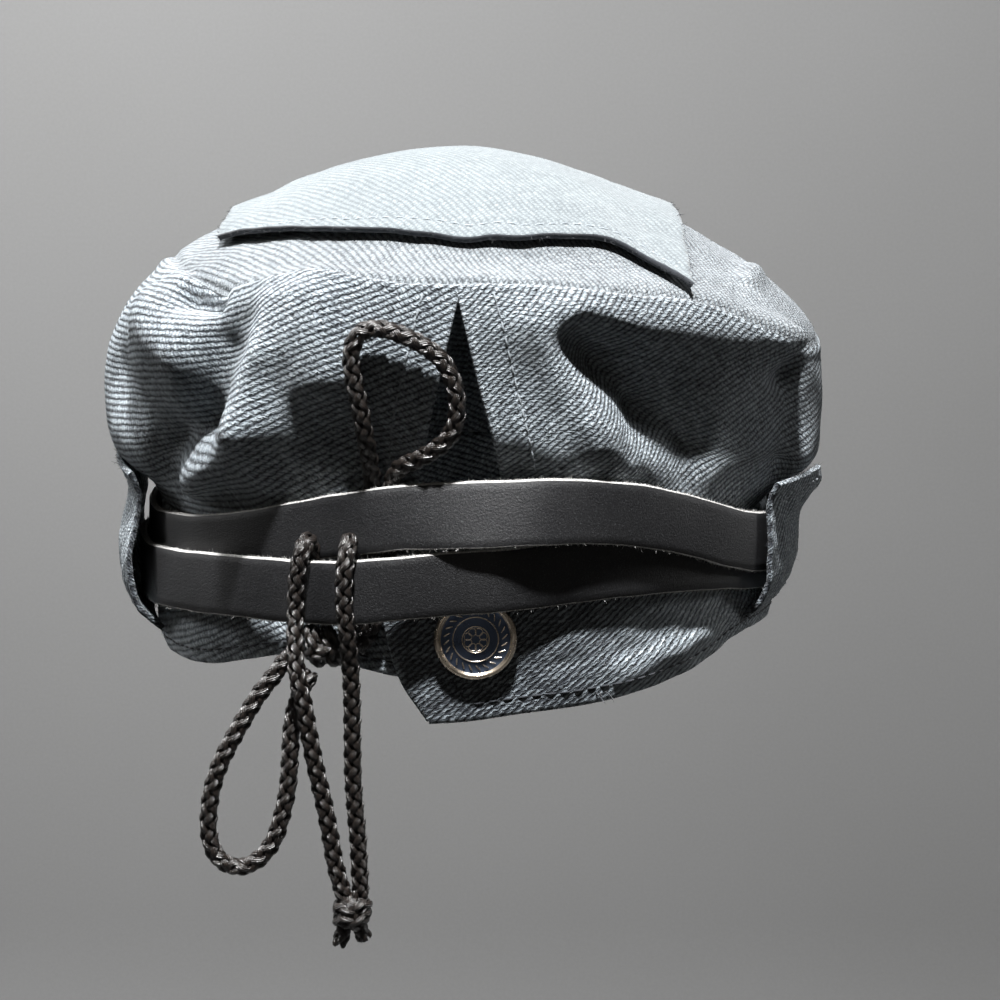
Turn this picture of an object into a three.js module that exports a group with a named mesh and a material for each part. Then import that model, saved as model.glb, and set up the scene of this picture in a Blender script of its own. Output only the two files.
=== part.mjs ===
// Biker cap: a full denim crown over a head band, two leather straps that cross at the back,
// a snap tab, a short peak and a tied cord. Millimetres, +Z up, +Y towards the peak.
// The origin is the centre of the head opening, level with the lowest point of the hem.
import * as THREE from 'three';

// Driving dimensions
const bandHalfWidth = 84;
const bandHalfLength = 101;
const clothThickness = 2;
const panelThickness = 1.6;
const panelGap = 0.8;
const strapWidth = 15.8;
const strapThickness = 1.8;
const loopThickness = 1.6;
const peakReach = 46;
const peakThickness = 3;
const cordDiameter = 4.4;
const slitApexHeight = 109.5;
const slitSlope = 0.232;

// Materials
const denim = { color: 0x6f7f8e, roughness: 0.95, metalness: 0 };
const paleDenim = { color: 0x93a2ae, roughness: 0.95, metalness: 0 };
const leather = { color: 0x17181b, roughness: 0.55, metalness: 0 };
const nickel = { color: 0xb4b6ba, roughness: 0.25, metalness: 1 };
const braid = { color: 0x2a211d, roughness: 0.6, metalness: 0 };

// Crown rings from the band seam to the middle of the top: half sizes towards each side, and heights there
const crownRings = [
  { name: 'seam', left: 83.8, right: 83.8, back: 98.4, front: 100.8, zLeft: 43, zRight: 43, zBack: 46, zFront: 43 },
  { name: 'tuck', left: 87.4, right: 87.6, back: 98.6, front: 102, zLeft: 48, zRight: 46.2, zBack: 57, zFront: 49 },
  { name: 'roll', left: 95.8, right: 97, back: 100.6, front: 104, zLeft: 55, zRight: 52.4, zBack: 67, zFront: 58 },
  { name: 'low_belly', left: 98.8, right: 98.6, back: 103.4, front: 108, zLeft: 66, zRight: 64, zBack: 79, zFront: 71 },
  { name: 'belly', left: 98.5, right: 98.4, back: 104.6, front: 109, zLeft: 80, zRight: 78, zBack: 92, zFront: 86 },
  { name: 'shoulder', left: 94.5, right: 96.5, back: 104.4, front: 107, zLeft: 91, zRight: 88, zBack: 103, zFront: 99 },
  { name: 'crease', left: 88, right: 90, back: 101.4, front: 102, zLeft: 100, zRight: 95.5, zBack: 109.5, zFront: 107 },
  { name: 'shelf', left: 77.5, right: 79, back: 92, front: 92, zLeft: 108.7, zRight: 104.4, zBack: 113, zFront: 113 },
  { name: 'panel_edge', left: 62, right: 61, back: 79, front: 78, zLeft: 117, zRight: 115.2, zBack: 118.6, zFront: 119 },
  { name: 'upper', left: 42, right: 42, back: 54, front: 52, zLeft: 126.6, zRight: 124, zBack: 127.6, zFront: 128 },
  { name: 'middle', left: 21, right: 21, back: 27, front: 26, zLeft: 132.4, zRight: 131, zBack: 133, zFront: 133 },
  { name: 'top', left: 0, right: 0, back: 0, front: 0, zLeft: 134.6, zRight: 134.6, zBack: 134.6, zFront: 134.6 },
];
const creaseLevel = 6;
const topLevel = crownRings.length - 1;
const crownLevels = [0, 0.6, 1.1, 1.7, 2.2, 2.7, 3.2, 3.8, 4.4, 5, 5.5, 6, 6.5, 7.2, 8, 9, 10];
const crownColumns = 76;
const backDensity = 0.36;
const poleMargin = 0.05;
const foldStart = 1.2;
const leastFold = 0.01;

// Folds of the crown: a line over the cloth in degrees round the cap and ring level, its half width,
// and how far it stands out, or in when negative. Degrees run from -180 at the left through -90 at the back.
const crownFolds = [
  { name: 'left_pinch', fromDeg: -142, fromLevel: 5.85, toDeg: -134, toLevel: 5.75, spread: 4.5, lift: -6 },
  { name: 'left_dimple', fromDeg: -124, fromLevel: 4.9, toDeg: -123, toLevel: 4.5, spread: 6, lift: -3 },
  { name: 'left_ridge', fromDeg: -120, fromLevel: 4.2, toDeg: -121.5, toLevel: 3, spread: 6, lift: 5 },
  { name: 'left_ridge_foot', fromDeg: -122.5, fromLevel: 2.7, toDeg: -140, toLevel: 1.5, spread: 6, lift: 5.4 },
  { name: 'left_hollow', fromDeg: -128, fromLevel: 4.3, toDeg: -131, toLevel: 2.9, spread: 7.5, lift: -5.6 },
  { name: 'left_hollow_foot', fromDeg: -134, fromLevel: 2.7, toDeg: -146, toLevel: 1.9, spread: 8, lift: -5.4 },
  { name: 'left_lobe', fromDeg: -152, fromLevel: 5.5, toDeg: -137.5, toLevel: 4.3, spread: 8, lift: 4.4 },
  { name: 'left_lobe_under', fromDeg: -162, fromLevel: 3.8, toDeg: -144, toLevel: 2.7, spread: 11, lift: -5.4 },
  { name: 'left_panel_swell', fromDeg: -114, fromLevel: 5.2, toDeg: -110, toLevel: 3.8, spread: 12, lift: 4.2 },
  { name: 'left_panel_low', fromDeg: -119, fromLevel: 2.8, toDeg: -122, toLevel: 1.8, spread: 8, lift: 3.2 },
  { name: 'left_panel_tuck', fromDeg: -107, fromLevel: 2.7, toDeg: -103, toLevel: 1.8, spread: 8, lift: -4 },
  { name: 'cord_dive', fromDeg: -103, fromLevel: 1.9, toDeg: -101, toLevel: 1.3, spread: 9, lift: -2 },
  { name: 'right_facing', fromDeg: -79, fromLevel: 4.8, toDeg: -71, toLevel: 2.5, spread: 6.5, lift: 3.2 },
  { name: 'right_facing_foot', fromDeg: -70.5, fromLevel: 2.9, toDeg: -64, toLevel: 2, spread: 6, lift: 2.8 },
  { name: 'right_facing_low', fromDeg: -81, fromLevel: 2.5, toDeg: -70, toLevel: 1.6, spread: 9, lift: 3.6 },
  { name: 'right_valley', fromDeg: -72, fromLevel: 4.45, toDeg: -61.5, toLevel: 3.1, spread: 5.5, lift: -8 },
  { name: 'right_valley_foot', fromDeg: -58, fromLevel: 2.8, toDeg: -51, toLevel: 2.2, spread: 8, lift: -5 },
  { name: 'right_brow', fromDeg: -73, fromLevel: 4.95, toDeg: -28, toLevel: 4.7, spread: 5, lift: 5.6 },
  { name: 'right_brow_under', fromDeg: -67, fromLevel: 4, toDeg: -24, toLevel: 3.95, spread: 6, lift: -6 },
  { name: 'right_under', fromDeg: -56, fromLevel: 3.2, toDeg: -24, toLevel: 2.9, spread: 12, lift: -6.2 },
  { name: 'right_low', fromDeg: -50, fromLevel: 2.1, toDeg: -25, toLevel: 1.8, spread: 7, lift: -3.4 },
  { name: 'right_corner', fromDeg: -24, fromLevel: 6.75, toDeg: -8, toLevel: 6.95, spread: 3.5, lift: 2.2 },
  { name: 'front_left_dip', fromDeg: 138, fromLevel: 5.4, toDeg: 146, toLevel: 3, spread: 14, lift: -3 },
  { name: 'front_right_dip', fromDeg: 42, fromLevel: 5.4, toDeg: 34, toLevel: 3, spread: 14, lift: -3 },
];

// Top panel: its back edge across the cap, and how far it runs to the front
const panelBackEdge = [
  { x: -62, y: -42 },
  { x: -48, y: -56.5 },
  { x: -27, y: -72.8 },
  { x: -7, y: -81 },
  { x: 2.2, y: -83.6 },
  { x: 8, y: -82 },
  { x: 17, y: -80.6 },
  { x: 33.6, y: -71.6 },
  { x: 43, y: -71.4 },
  { x: 56.4, y: -78 },
];
const panelFrontEdge = [
  { x: -58, y: 62 },
  { x: -30, y: 78 },
  { x: 0, y: 84 },
  { x: 30, y: 78 },
  { x: 56, y: 62 },
];
const panelColumns = 16;
const panelRows = 16;
const panelEdgeLift = 1.2;
const panelEdgeReach = 0.08;
const panelPoleMargin = 0.2;
const panelLowestLevel = 4.5;
const placeSearches = 40;

// Band: an open strip from its hidden left end behind the tab, round the left side and the front to the tab.
// along counts degrees from the right side clockwise seen from above; out is measured from the head ellipse.
const bandRows = [
  { along: 80, bottom: 13, top: 45.3, out: -2.4 },
  { along: 90, bottom: 12, top: 45.5, out: -2.4 },
  { along: 100, bottom: 11.8, top: 45.4, out: -2.3 },
  { along: 110, bottom: 14, top: 45.1, out: -2 },
  { along: 121, bottom: 15, top: 44.7, out: -0.9 },
  { along: 130, bottom: 12, top: 44.2, out: -0.2 },
  { along: 140, bottom: 8, top: 43.7, out: 0 },
  { along: 151, bottom: 5.5, top: 43.2, out: 0 },
  { along: 180, bottom: 3.5, top: 42.5, out: 0 },
  { along: 225, bottom: 3, top: 42.5, out: 0 },
  { along: 270, bottom: 3, top: 42.5, out: 0 },
  { along: 315, bottom: 3, top: 42.5, out: 0 },
  { along: 350, bottom: 6, top: 42.6, out: 0 },
  { along: 375, bottom: 10.5, top: 42.7, out: 0 },
  { along: 392, bottom: 12.5, top: 43.3, out: 0 },
  { along: 404, bottom: 8.6, top: 43.9, out: 0.2 },
  { along: 416, bottom: 6, top: 44.5, out: 1 },
  { along: 428, bottom: 4.4, top: 45, out: 1.6 },
  { along: 440, bottom: 3.4, top: 45.4, out: 1.6 },
  { along: 449, bottom: 1.8, top: 45.5, out: 1.6 },
  { along: 466, bottom: 0, top: 45.5, out: 1.4 },
];
// Where the tab ends at each height
const tabEnd = [
  { z: 0, along: 455 },
  { z: 10, along: 459.3 },
  { z: 18, along: 461.2 },
  { z: 27, along: 462.2 },
  { z: 33, along: 460.6 },
  { z: 38, along: 456 },
  { z: 45, along: 449 },
];
const bandColumns = 76;
const bandHeights = [0, 0.33, 0.67, 1];

// Straps: height of the middle of the strap and its distance out from the band ellipse, round the cap
const strapUpperRows = [
  { deg: -180, z: 34, out: 2.2 },
  { deg: -160, z: 34.8, out: 2.2 },
  { deg: -150, z: 36.6, out: 2.2 },
  { deg: -140, z: 38.7, out: 2.2 },
  { deg: -130, z: 41.9, out: 1.6 },
  { deg: -120, z: 45.6, out: 0.6 },
  { deg: -113, z: 48.4, out: 0.6 },
  { deg: -109.5, z: 49.6, out: 2.1 },
  { deg: -105.5, z: 51, out: 3.8 },
  { deg: -99, z: 52.8, out: 4.5 },
  { deg: -95, z: 53.3, out: 5 },
  { deg: -90, z: 53.8, out: 6 },
  { deg: -84, z: 54.2, out: 7 },
  { deg: -78, z: 54.4, out: 7.6 },
  { deg: -70, z: 53.6, out: 6.4 },
  { deg: -60, z: 51, out: 5.6 },
  { deg: -50, z: 46.6, out: 5.6 },
  { deg: -40, z: 41.2, out: 5.4 },
  { deg: -30, z: 37, out: 5 },
  { deg: -18, z: 34.6, out: 4.8 },
  { deg: 0, z: 33.4, out: 4.8 },
  { deg: 45, z: 32.6, out: 4.6 },
  { deg: 62, z: 32.3, out: 3.8 },
  { deg: 90, z: 32.2, out: 2.8 },
  { deg: 120, z: 32.5, out: 2.2 },
  { deg: 140, z: 33.2, out: 2.2 },
];
const strapLowerRows = [
  { deg: -180, z: 25, out: 4.8 },
  { deg: -160, z: 25.8, out: 4.8 },
  { deg: -150, z: 27.6, out: 4.8 },
  { deg: -140, z: 29.4, out: 4.8 },
  { deg: -130, z: 31.2, out: 5.2 },
  { deg: -120, z: 32.4, out: 6.2 },
  { deg: -113, z: 33.4, out: 8.2 },
  { deg: -107, z: 34.3, out: 9.4 },
  { deg: -101, z: 35.4, out: 8.2 },
  { deg: -95, z: 36.3, out: 6.4 },
  { deg: -90, z: 37, out: 5.9 },
  { deg: -84, z: 37.5, out: 6.1 },
  { deg: -78, z: 37.9, out: 4.8 },
  { deg: -72, z: 38.2, out: 3.4 },
  { deg: -60, z: 38.2, out: 2.9 },
  { deg: -50, z: 37, out: 2.7 },
  { deg: -40, z: 35, out: 2.5 },
  { deg: -30, z: 32, out: 2.3 },
  { deg: -18, z: 29, out: 2.2 },
  { deg: 0, z: 26, out: 2.2 },
  { deg: 45, z: 16.8, out: 2.3 },
  { deg: 62, z: 15.6, out: 2.5 },
  { deg: 90, z: 15.4, out: 3 },
  { deg: 120, z: 16, out: 4 },
  { deg: 140, z: 18.4, out: 4.7 },
];
const strapStep = 5;
const strapFineStep = 3;
const strapFineFrom = -123;
const strapFineTo = -72;

// Belt loops: how far the outer face stands out at the rear and the front edge of each loop, from the hem up.
// With a higher closing power a loop keeps its rear line longer and closes in near its front edge.
const loopLeftPath = [
  { share: 0, rear: 3.4, front: 2.8 },
  { share: 0.06, rear: 6.4, front: 6.6 },
  { share: 0.14, rear: 9.2, front: 8.8 },
  { share: 0.29, rear: 11.5, front: 8.8 },
  { share: 0.46, rear: 11.9, front: 8.8 },
  { share: 0.63, rear: 10.9, front: 7.8 },
  { share: 0.77, rear: 9.2, front: 7.3 },
  { share: 0.88, rear: 8.8, front: 10.1 },
  { share: 1, rear: 11.4, front: 13.9 },
];
const loopRightPath = [
  { share: 0, rear: 2.4, front: 2.4 },
  { share: 0.08, rear: 5, front: 5 },
  { share: 0.15, rear: 6.8, front: 6.6 },
  { share: 0.3, rear: 8.4, front: 8.4 },
  { share: 0.5, rear: 8.8, front: 9 },
  { share: 0.64, rear: 8.8, front: 9.2 },
  { share: 0.77, rear: 8.8, front: 12 },
  { share: 0.89, rear: 9, front: 14.6 },
  { share: 1, rear: 11, front: 15 },
];
const loops = [
  {
    name: 'loop_left', path: loopLeftPath, rearDeg: -157.5, frontDeg: -186, bottom: 10.5, top: 53, closing: 3,
  },
  {
    name: 'loop_right', path: loopRightPath, rearDeg: -29, frontDeg: -11, bottom: 16, top: 52, closing: 1,
  },
];
const loopSteps = 6;

// Button on the tab
const buttonX = 4;
const buttonZ = 22.4;
const buttonFaceGap = 0.35;
const backAlong = 450;
const buttonProfile = [
  { radius: 0, height: 0 },
  { radius: 9.2, height: 0 },
  { radius: 10.25, height: 0.7 },
  { radius: 10.25, height: 1.5 },
  { radius: 9.7, height: 2.1 },
  { radius: 8.9, height: 1.9 },
  { radius: 8.3, height: 1.4 },
  { radius: 4, height: 1.75 },
  { radius: 0, height: 1.85 },
];
const buttonSides = 28;

// Peak
const peakHalfSpan = 66;
const peakRootTop = 7;
const peakSlope = 0.34;
const peakRootGap = 0.6;
const peakColumns = 26;
const peakRows = 4;
const peakFullness = 0.62;
const peakEndReach = 3;
const peakSideShare = 0.45;

// Cord: the bow at the hem, its two loops and the two ends, as points along the middle of the cord
const bowKnot = { at: [-33.6, -98.6, 19.6], size: [12.6, 7.6, 10.6] };
const endKnot = { at: [-26.8, -104.2, -47.2], size: [9.6, 8.6, 9.6] };
const cordRoutes = [
  {
    name: 'cord_loop_up',
    steps: 26,
    points: [
      [-26.2, -97.6, 23.6],
      [-25, -97.6, 28],
      [-23.6, -97.7, 33],
      [-22.4, -97.7, 40],
      [-21.7, -97.9, 48],
      [-21.4, -97.7, 55],
      [-21.3, -97.8, 61],
      [-21.8, -100.8, 67],
      [-22.6, -104.4, 73],
      [-23.8, -106, 80.6],
      [-25.3, -106.8, 88],
      [-25.4, -107.2, 94.4],
      [-23.4, -107.6, 98.2],
      [-19.8, -108, 99.4],
      [-15.7, -108.4, 98.7],
      [-9, -108.8, 95.8],
      [-3.8, -109, 91.8],
      [-0.9, -109, 85.8],
      [-0.2, -108.6, 79.7],
      [-1.4, -108, 74.4],
      [-4.6, -107, 70.6],
      [-9.4, -105.2, 67.4],
      [-14.2, -102, 64.6],
      [-16.3, -99.3, 60.6],
      [-16.6, -99.1, 55],
      [-16.8, -99.2, 48],
      [-17.4, -99.1, 40],
      [-18.8, -98.7, 33],
      [-20.4, -98.5, 27],
      [-22.6, -98.6, 22],
      [-25.4, -99, 18.6],
    ],
  },
  {
    name: 'cord_loop_down',
    steps: 22,
    points: [
      [-40.2, -99.2, 18],
      [-42.6, -100, 16.4],
      [-45.6, -100.6, 12.6],
      [-49.2, -101, 8.1],
      [-52.2, -101.5, 3.4],
      [-55.5, -102, -2.3],
      [-58.8, -102, -8.7],
      [-61.1, -102, -15.1],
      [-62.2, -102, -21.5],
      [-62.3, -102, -28],
      [-60.6, -102, -33.2],
      [-57.3, -102, -35.8],
      [-53.3, -102, -36],
      [-49.5, -102, -33.7],
      [-46.2, -102, -29.2],
      [-43.9, -102, -22.1],
      [-42.5, -102, -15.1],
      [-41.9, -102, -7.4],
      [-41.4, -101.5, -0.4],
      [-40.4, -100.6, 5],
      [-38.8, -100.2, 8.8],
      [-36.4, -99.6, 13.4],
    ],
  },
  {
    name: 'cord_end_left',
    steps: 16,
    points: [
      [-35.8, -95.6, 26],
      [-36, -95.5, 31],
      [-36.2, -95.4, 36],
      [-36.3, -95.5, 40.5],
      [-36.6, -96.8, 44.6],
      [-37.2, -99.2, 46],
      [-38.2, -102, 44.4],
      [-39.2, -102.6, 40],
      [-39.8, -102.4, 35],
      [-40, -102.2, 29],
      [-40.2, -103.8, 21],
      [-39.6, -105.2, 13.4],
      [-38, -105.4, 5.5],
      [-36.8, -105.2, -2.1],
      [-35.2, -104.8, -11],
      [-33.4, -104.6, -19.5],
      [-32, -104.3, -27.7],
      [-30.8, -104.2, -35.3],
      [-29.2, -104.2, -41.6],
    ],
  },
  {
    name: 'cord_end_right',
    steps: 16,
    points: [
      [-30.8, -98.4, 26.2],
      [-29.4, -99.6, 31],
      [-28.4, -101, 36],
      [-27.4, -101.3, 40.6],
      [-26.8, -102.8, 45.4],
      [-26.6, -105.6, 47.2],
      [-27, -108.4, 45],
      [-27.6, -109.6, 40.4],
      [-27.8, -109.6, 35],
      [-27.6, -109.5, 29],
      [-27, -108.8, 23.5],
      [-26.5, -107.2, 16],
      [-26.2, -106.4, 7.4],
      [-26.2, -106, -1.4],
      [-26.2, -105.4, -10.5],
      [-25.8, -105, -19.4],
      [-25.1, -104.6, -28.4],
      [-24.8, -104.3, -36.3],
      [-24.6, -104.2, -41.9],
    ],
  },
];
const cordSides = 8;

const toRadians = THREE.MathUtils.degToRad;

// A smooth curve through the rows of a table, with even slopes at the rows
function smoothTable(rows, key, value, at) {
  const last = rows.length - 1;
  let k = 0;
  while (k < last - 1 && at > rows[k + 1][key]) k += 1;
  const slope = (j) => {
    const low = Math.max(j - 1, 0);
    const high = Math.min(j + 1, last);
    return (rows[high][value] - rows[low][value]) / (rows[high][key] - rows[low][key]);
  };
  const width = rows[k + 1][key] - rows[k][key];
  const t = THREE.MathUtils.clamp((at - rows[k][key]) / width, 0, 1);
  return hermite(rows[k][value], rows[k + 1][value], slope(k) * width, slope(k + 1) * width, t);
}

function hermite(a, b, slopeA, slopeB, t) {
  const t2 = t * t;
  const t3 = t2 * t;
  return (2 * t3 - 3 * t2 + 1) * a + (t3 - 2 * t2 + t) * slopeA + (3 * t2 - 2 * t3) * b + (t3 - t2) * slopeB;
}

// The same for a table in degrees that closes on itself
function smoothAround(rows, value, deg) {
  const wrapped = [
    ...rows.slice(-2).map((row) => ({ ...row, deg: row.deg - 360 })),
    ...rows,
    ...rows.slice(0, 2).map((row) => ({ ...row, deg: row.deg + 360 })),
  ];
  return smoothTable(wrapped, 'deg', value, deg);
}

// A closed solid from an outer and an inner grid of points that share their layout.
// ringed grids close round; a slit leaves the rows below slitRow open between their first and last columns.
function solidFromGrids(outer, inner, { ringed = false, slitRow = 0, outerCap = null, innerCap = null } = {}) {
  const positions = [];
  const indices = [];
  const rows = outer.length;
  const columns = outer[0].length;
  const add = (point) => {
    positions.push(point.x, point.y, point.z);
    return positions.length / 3 - 1;
  };
  const indexGrid = (grid) => grid.map((row, j) => {
    const line = row.map((point, i) => (ringed && j >= slitRow && i === columns - 1 ? -1 : add(point)));
    if (ringed && j >= slitRow) line[columns - 1] = line[0];
    return line;
  });
  const a = indexGrid(outer);
  const b = indexGrid(inner);
  const quad = (p, q, r, s) => {
    if (p !== q) indices.push(p, q, r);
    if (r !== s) indices.push(p, r, s);
  };
  for (let j = 0; j < rows - 1; j += 1) {
    for (let i = 0; i < columns - 1; i += 1) {
      quad(a[j][i], a[j][i + 1], a[j + 1][i + 1], a[j + 1][i]);
      quad(b[j][i + 1], b[j][i], b[j + 1][i], b[j + 1][i + 1]);
    }
  }
  for (let i = 0; i < columns - 1; i += 1) {
    quad(b[0][i], b[0][i + 1], a[0][i + 1], a[0][i]);
    if (!outerCap) quad(a[rows - 1][i], a[rows - 1][i + 1], b[rows - 1][i + 1], b[rows - 1][i]);
  }
  const openRows = ringed ? slitRow : rows - 1;
  for (let j = 0; j < openRows; j += 1) {
    quad(b[j][0], a[j][0], a[j + 1][0], b[j + 1][0]);
    quad(a[j][columns - 1], b[j][columns - 1], b[j + 1][columns - 1], a[j + 1][columns - 1]);
  }
  if (outerCap) {
    const p = add(outerCap);
    const q = add(innerCap);
    for (let i = 0; i < columns - 1; i += 1) {
      indices.push(a[rows - 1][i], a[rows - 1][i + 1], p, b[rows - 1][i + 1], b[rows - 1][i], q);
    }
  }
  const geometry = new THREE.BufferGeometry();
  geometry.setAttribute('position', new THREE.Float32BufferAttribute(positions, 3));
  geometry.setIndex(indices);
  geometry.computeVertexNormals();
  return geometry;
}

// The smooth crown before folds, at an angle in degrees and a ring level
function crownBase(deg, level) {
  const angle = toRadians(deg);
  const c = Math.cos(angle);
  const s = Math.sin(angle);
  const at = (k) => {
    const ring = crownRings[k > topLevel ? 2 * topLevel - k : Math.max(k, 0)];
    const flip = k > topLevel ? -1 : 1;
    const side = c < 0 ? [ring.left, ring.zLeft] : [ring.right, ring.zRight];
    const end = s < 0 ? [ring.back, ring.zBack] : [ring.front, ring.zFront];
    return new THREE.Vector3(flip * side[0] * c, flip * end[0] * s, side[1] * c * c + end[1] * s * s);
  };
  const k = Math.min(Math.floor(level), topLevel - 1);
  const t = level - k;
  const before = k === 0 ? at(0) : at(k - 1);
  const [low, high, after] = [at(k), at(k + 1), at(k + 2)];
  const slopeLow = high.clone().sub(before).multiplyScalar(k === 0 ? 1 : 0.5);
  const slopeHigh = after.sub(low).multiplyScalar(0.5);
  return new THREE.Vector3(
    hermite(low.x, high.x, slopeLow.x, slopeHigh.x, t),
    hermite(low.y, high.y, slopeLow.y, slopeHigh.y, t),
    hermite(low.z, high.z, slopeLow.z, slopeHigh.z, t),
  );
}

function normalOf(surface, deg, level) {
  const stepDeg = 0.5;
  const stepLevel = 0.02;
  const low = Math.max(level - stepLevel, 0);
  const high = Math.min(level + stepLevel, topLevel - poleMargin);
  const round = surface(deg + stepDeg, level).sub(surface(deg - stepDeg, level));
  const up = surface(deg, high).sub(surface(deg, Math.min(low, high - stepLevel)));
  return round.cross(up).normalize();
}

const foldLines = crownFolds.map((fold) => ({
  line: new THREE.Line3(crownBase(fold.fromDeg, fold.fromLevel), crownBase(fold.toDeg, fold.toLevel)),
  spread: fold.spread,
  lift: fold.lift,
}));

// The crown's outer face with its folds
function crownSurface(deg, level) {
  const base = crownBase(deg, level);
  const nearest = new THREE.Vector3();
  let lift = 0;
  for (const fold of foldLines) {
    fold.line.closestPointToPoint(base, true, nearest);
    lift += fold.lift * Math.exp(-((base.distanceTo(nearest) / fold.spread) ** 2));
  }
  const still = Math.min(level / foldStart, 1);
  if (Math.abs(lift) < leastFold || still === 0) return base;
  return base.addScaledVector(normalOf(crownBase, deg, level), lift * still);
}

// Columns are closer together at the back, and stand clear of the slit below its apex
function crownColumnDegrees(level, column) {
  const share = column / crownColumns;
  const even = share - (backDensity / (2 * Math.PI)) * Math.sin(2 * Math.PI * share);
  const middle = crownBase(-90, level);
  const halfGap = level < creaseLevel ? Math.max(slitSlope * (slitApexHeight - middle.z), 0) : 0;
  const ring = crownBase(0, level).x;
  const gapDegrees = THREE.MathUtils.radToDeg(Math.asin(halfGap / ring));
  return -90 + gapDegrees + (360 - 2 * gapDegrees) * even;
}

function crownGeometry() {
  const outer = [];
  const inner = [];
  for (const level of crownLevels) {
    const outerRow = [];
    const innerRow = [];
    for (let i = 0; i <= crownColumns; i += 1) {
      const deg = crownColumnDegrees(level, i);
      const point = crownSurface(deg, level);
      outerRow.push(point);
      innerRow.push(point.clone().addScaledVector(normalOf(crownSurface, deg, level), -clothThickness));
    }
    outer.push(outerRow);
    inner.push(innerRow);
  }
  const top = crownBase(0, topLevel);
  return solidFromGrids(outer, inner, {
    ringed: true,
    slitRow: crownLevels.indexOf(creaseLevel),
    outerCap: top,
    innerCap: top.clone().setZ(top.z - clothThickness),
  });
}

// Degrees and level of the crown's face over a place on the top
function crownPlace(x, y) {
  let low = panelLowestLevel;
  let high = topLevel;
  let deg = 0;
  for (let n = 0; n < placeSearches; n += 1) {
    const level = (low + high) / 2;
    const sideways = Math.abs(crownBase(x < 0 ? 180 : 0, level).x);
    const lengthways = Math.abs(crownBase(y < 0 ? -90 : 90, level).y);
    deg = THREE.MathUtils.radToDeg(Math.atan2(y / lengthways, x / sideways));
    if (Math.hypot(x / sideways, y / lengthways) < 1) low = level;
    else high = level;
  }
  return { deg, level: (low + high) / 2 };
}

function topPanelGeometry() {
  const outer = [];
  const inner = [];
  const left = panelBackEdge[0].x;
  const right = panelBackEdge[panelBackEdge.length - 1].x;
  for (let j = 0; j <= panelRows; j += 1) {
    const along = j / panelRows;
    const outerRow = [];
    const innerRow = [];
    for (let i = 0; i <= panelColumns; i += 1) {
      const x = THREE.MathUtils.lerp(left, right, i / panelColumns);
      const back = smoothTable(panelBackEdge, 'x', 'y', x);
      const front = smoothTable(panelFrontEdge, 'x', 'y', x);
      const y = THREE.MathUtils.lerp(back, front, along);
      const place = crownPlace(x, y);
      const normal = normalOf(crownSurface, place.deg, Math.min(place.level, topLevel - panelPoleMargin));
      const across = i / panelColumns;
      const inside = Math.min(along, 1 - along, across, 1 - across);
      const edge = Math.max(0, 1 - inside / panelEdgeReach);
      const under = crownSurface(place.deg, place.level).addScaledVector(normal, panelGap + panelEdgeLift * edge);
      innerRow.push(under);
      outerRow.push(under.clone().addScaledVector(normal, panelThickness));
    }
    outer.push(outerRow);
    inner.push(innerRow);
  }
  return solidFromGrids(outer, inner);
}

// A point of the band's ellipse moved outwards, at an angle and height
function roundBand(deg, out, z) {
  const angle = toRadians(deg);
  return new THREE.Vector3((bandHalfWidth + out) * Math.cos(angle), (bandHalfLength + out) * Math.sin(angle), z);
}

function bandGeometry() {
  const outer = [];
  const inner = [];
  const start = bandRows[0].along;
  const full = bandRows[bandRows.length - 1].along;
  for (const height of bandHeights) {
    const outerRow = [];
    const innerRow = [];
    const endHeight = THREE.MathUtils.lerp(0, bandRows[bandRows.length - 1].top, height);
    const end = smoothTable(tabEnd, 'z', 'along', endHeight);
    for (let i = 0; i <= bandColumns; i += 1) {
      const along = THREE.MathUtils.lerp(start, end, i / bandColumns);
      const at = Math.min(along, full);
      const bottom = smoothTable(bandRows, 'along', 'bottom', at);
      const top = smoothTable(bandRows, 'along', 'top', at);
      const out = smoothTable(bandRows, 'along', 'out', at);
      const z = THREE.MathUtils.lerp(bottom, top, height);
      outerRow.push(roundBand(-along, out, z));
      innerRow.push(roundBand(-along, out - clothThickness, z));
    }
    outer.push(outerRow.reverse());
    inner.push(innerRow.reverse());
  }
  return solidFromGrids(outer, inner);
}

function strapStations() {
  const stations = [];
  let deg = -180;
  while (deg < 180) {
    stations.push(deg);
    deg += deg >= strapFineFrom && deg < strapFineTo ? strapFineStep : strapStep;
  }
  return stations;
}

function strapGeometry(rows) {
  const half = strapWidth / 2;
  const corners = [[-1, 1], [1, 1], [1, -1], [-1, -1]];
  const positions = [];
  const indices = [];
  const stations = strapStations();
  for (const deg of stations) {
    const out = smoothAround(rows, 'out', deg);
    const z = smoothAround(rows, 'z', deg);
    for (const [side, rise] of corners) {
      const point = roundBand(deg, out + (side * strapThickness) / 2, z + rise * half);
      positions.push(point.x, point.y, point.z);
    }
  }
  const count = stations.length;
  for (let n = 0; n < count; n += 1) {
    const a = n * 4;
    const b = ((n + 1) % count) * 4;
    for (let c = 0; c < 4; c += 1) {
      const d = (c + 1) % 4;
      indices.push(a + c, b + d, b + c, a + c, a + d, b + d);
    }
  }
  const geometry = new THREE.BufferGeometry();
  geometry.setAttribute('position', new THREE.Float32BufferAttribute(positions, 3));
  geometry.setIndex(indices);
  geometry.computeVertexNormals();
  return geometry;
}

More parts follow.
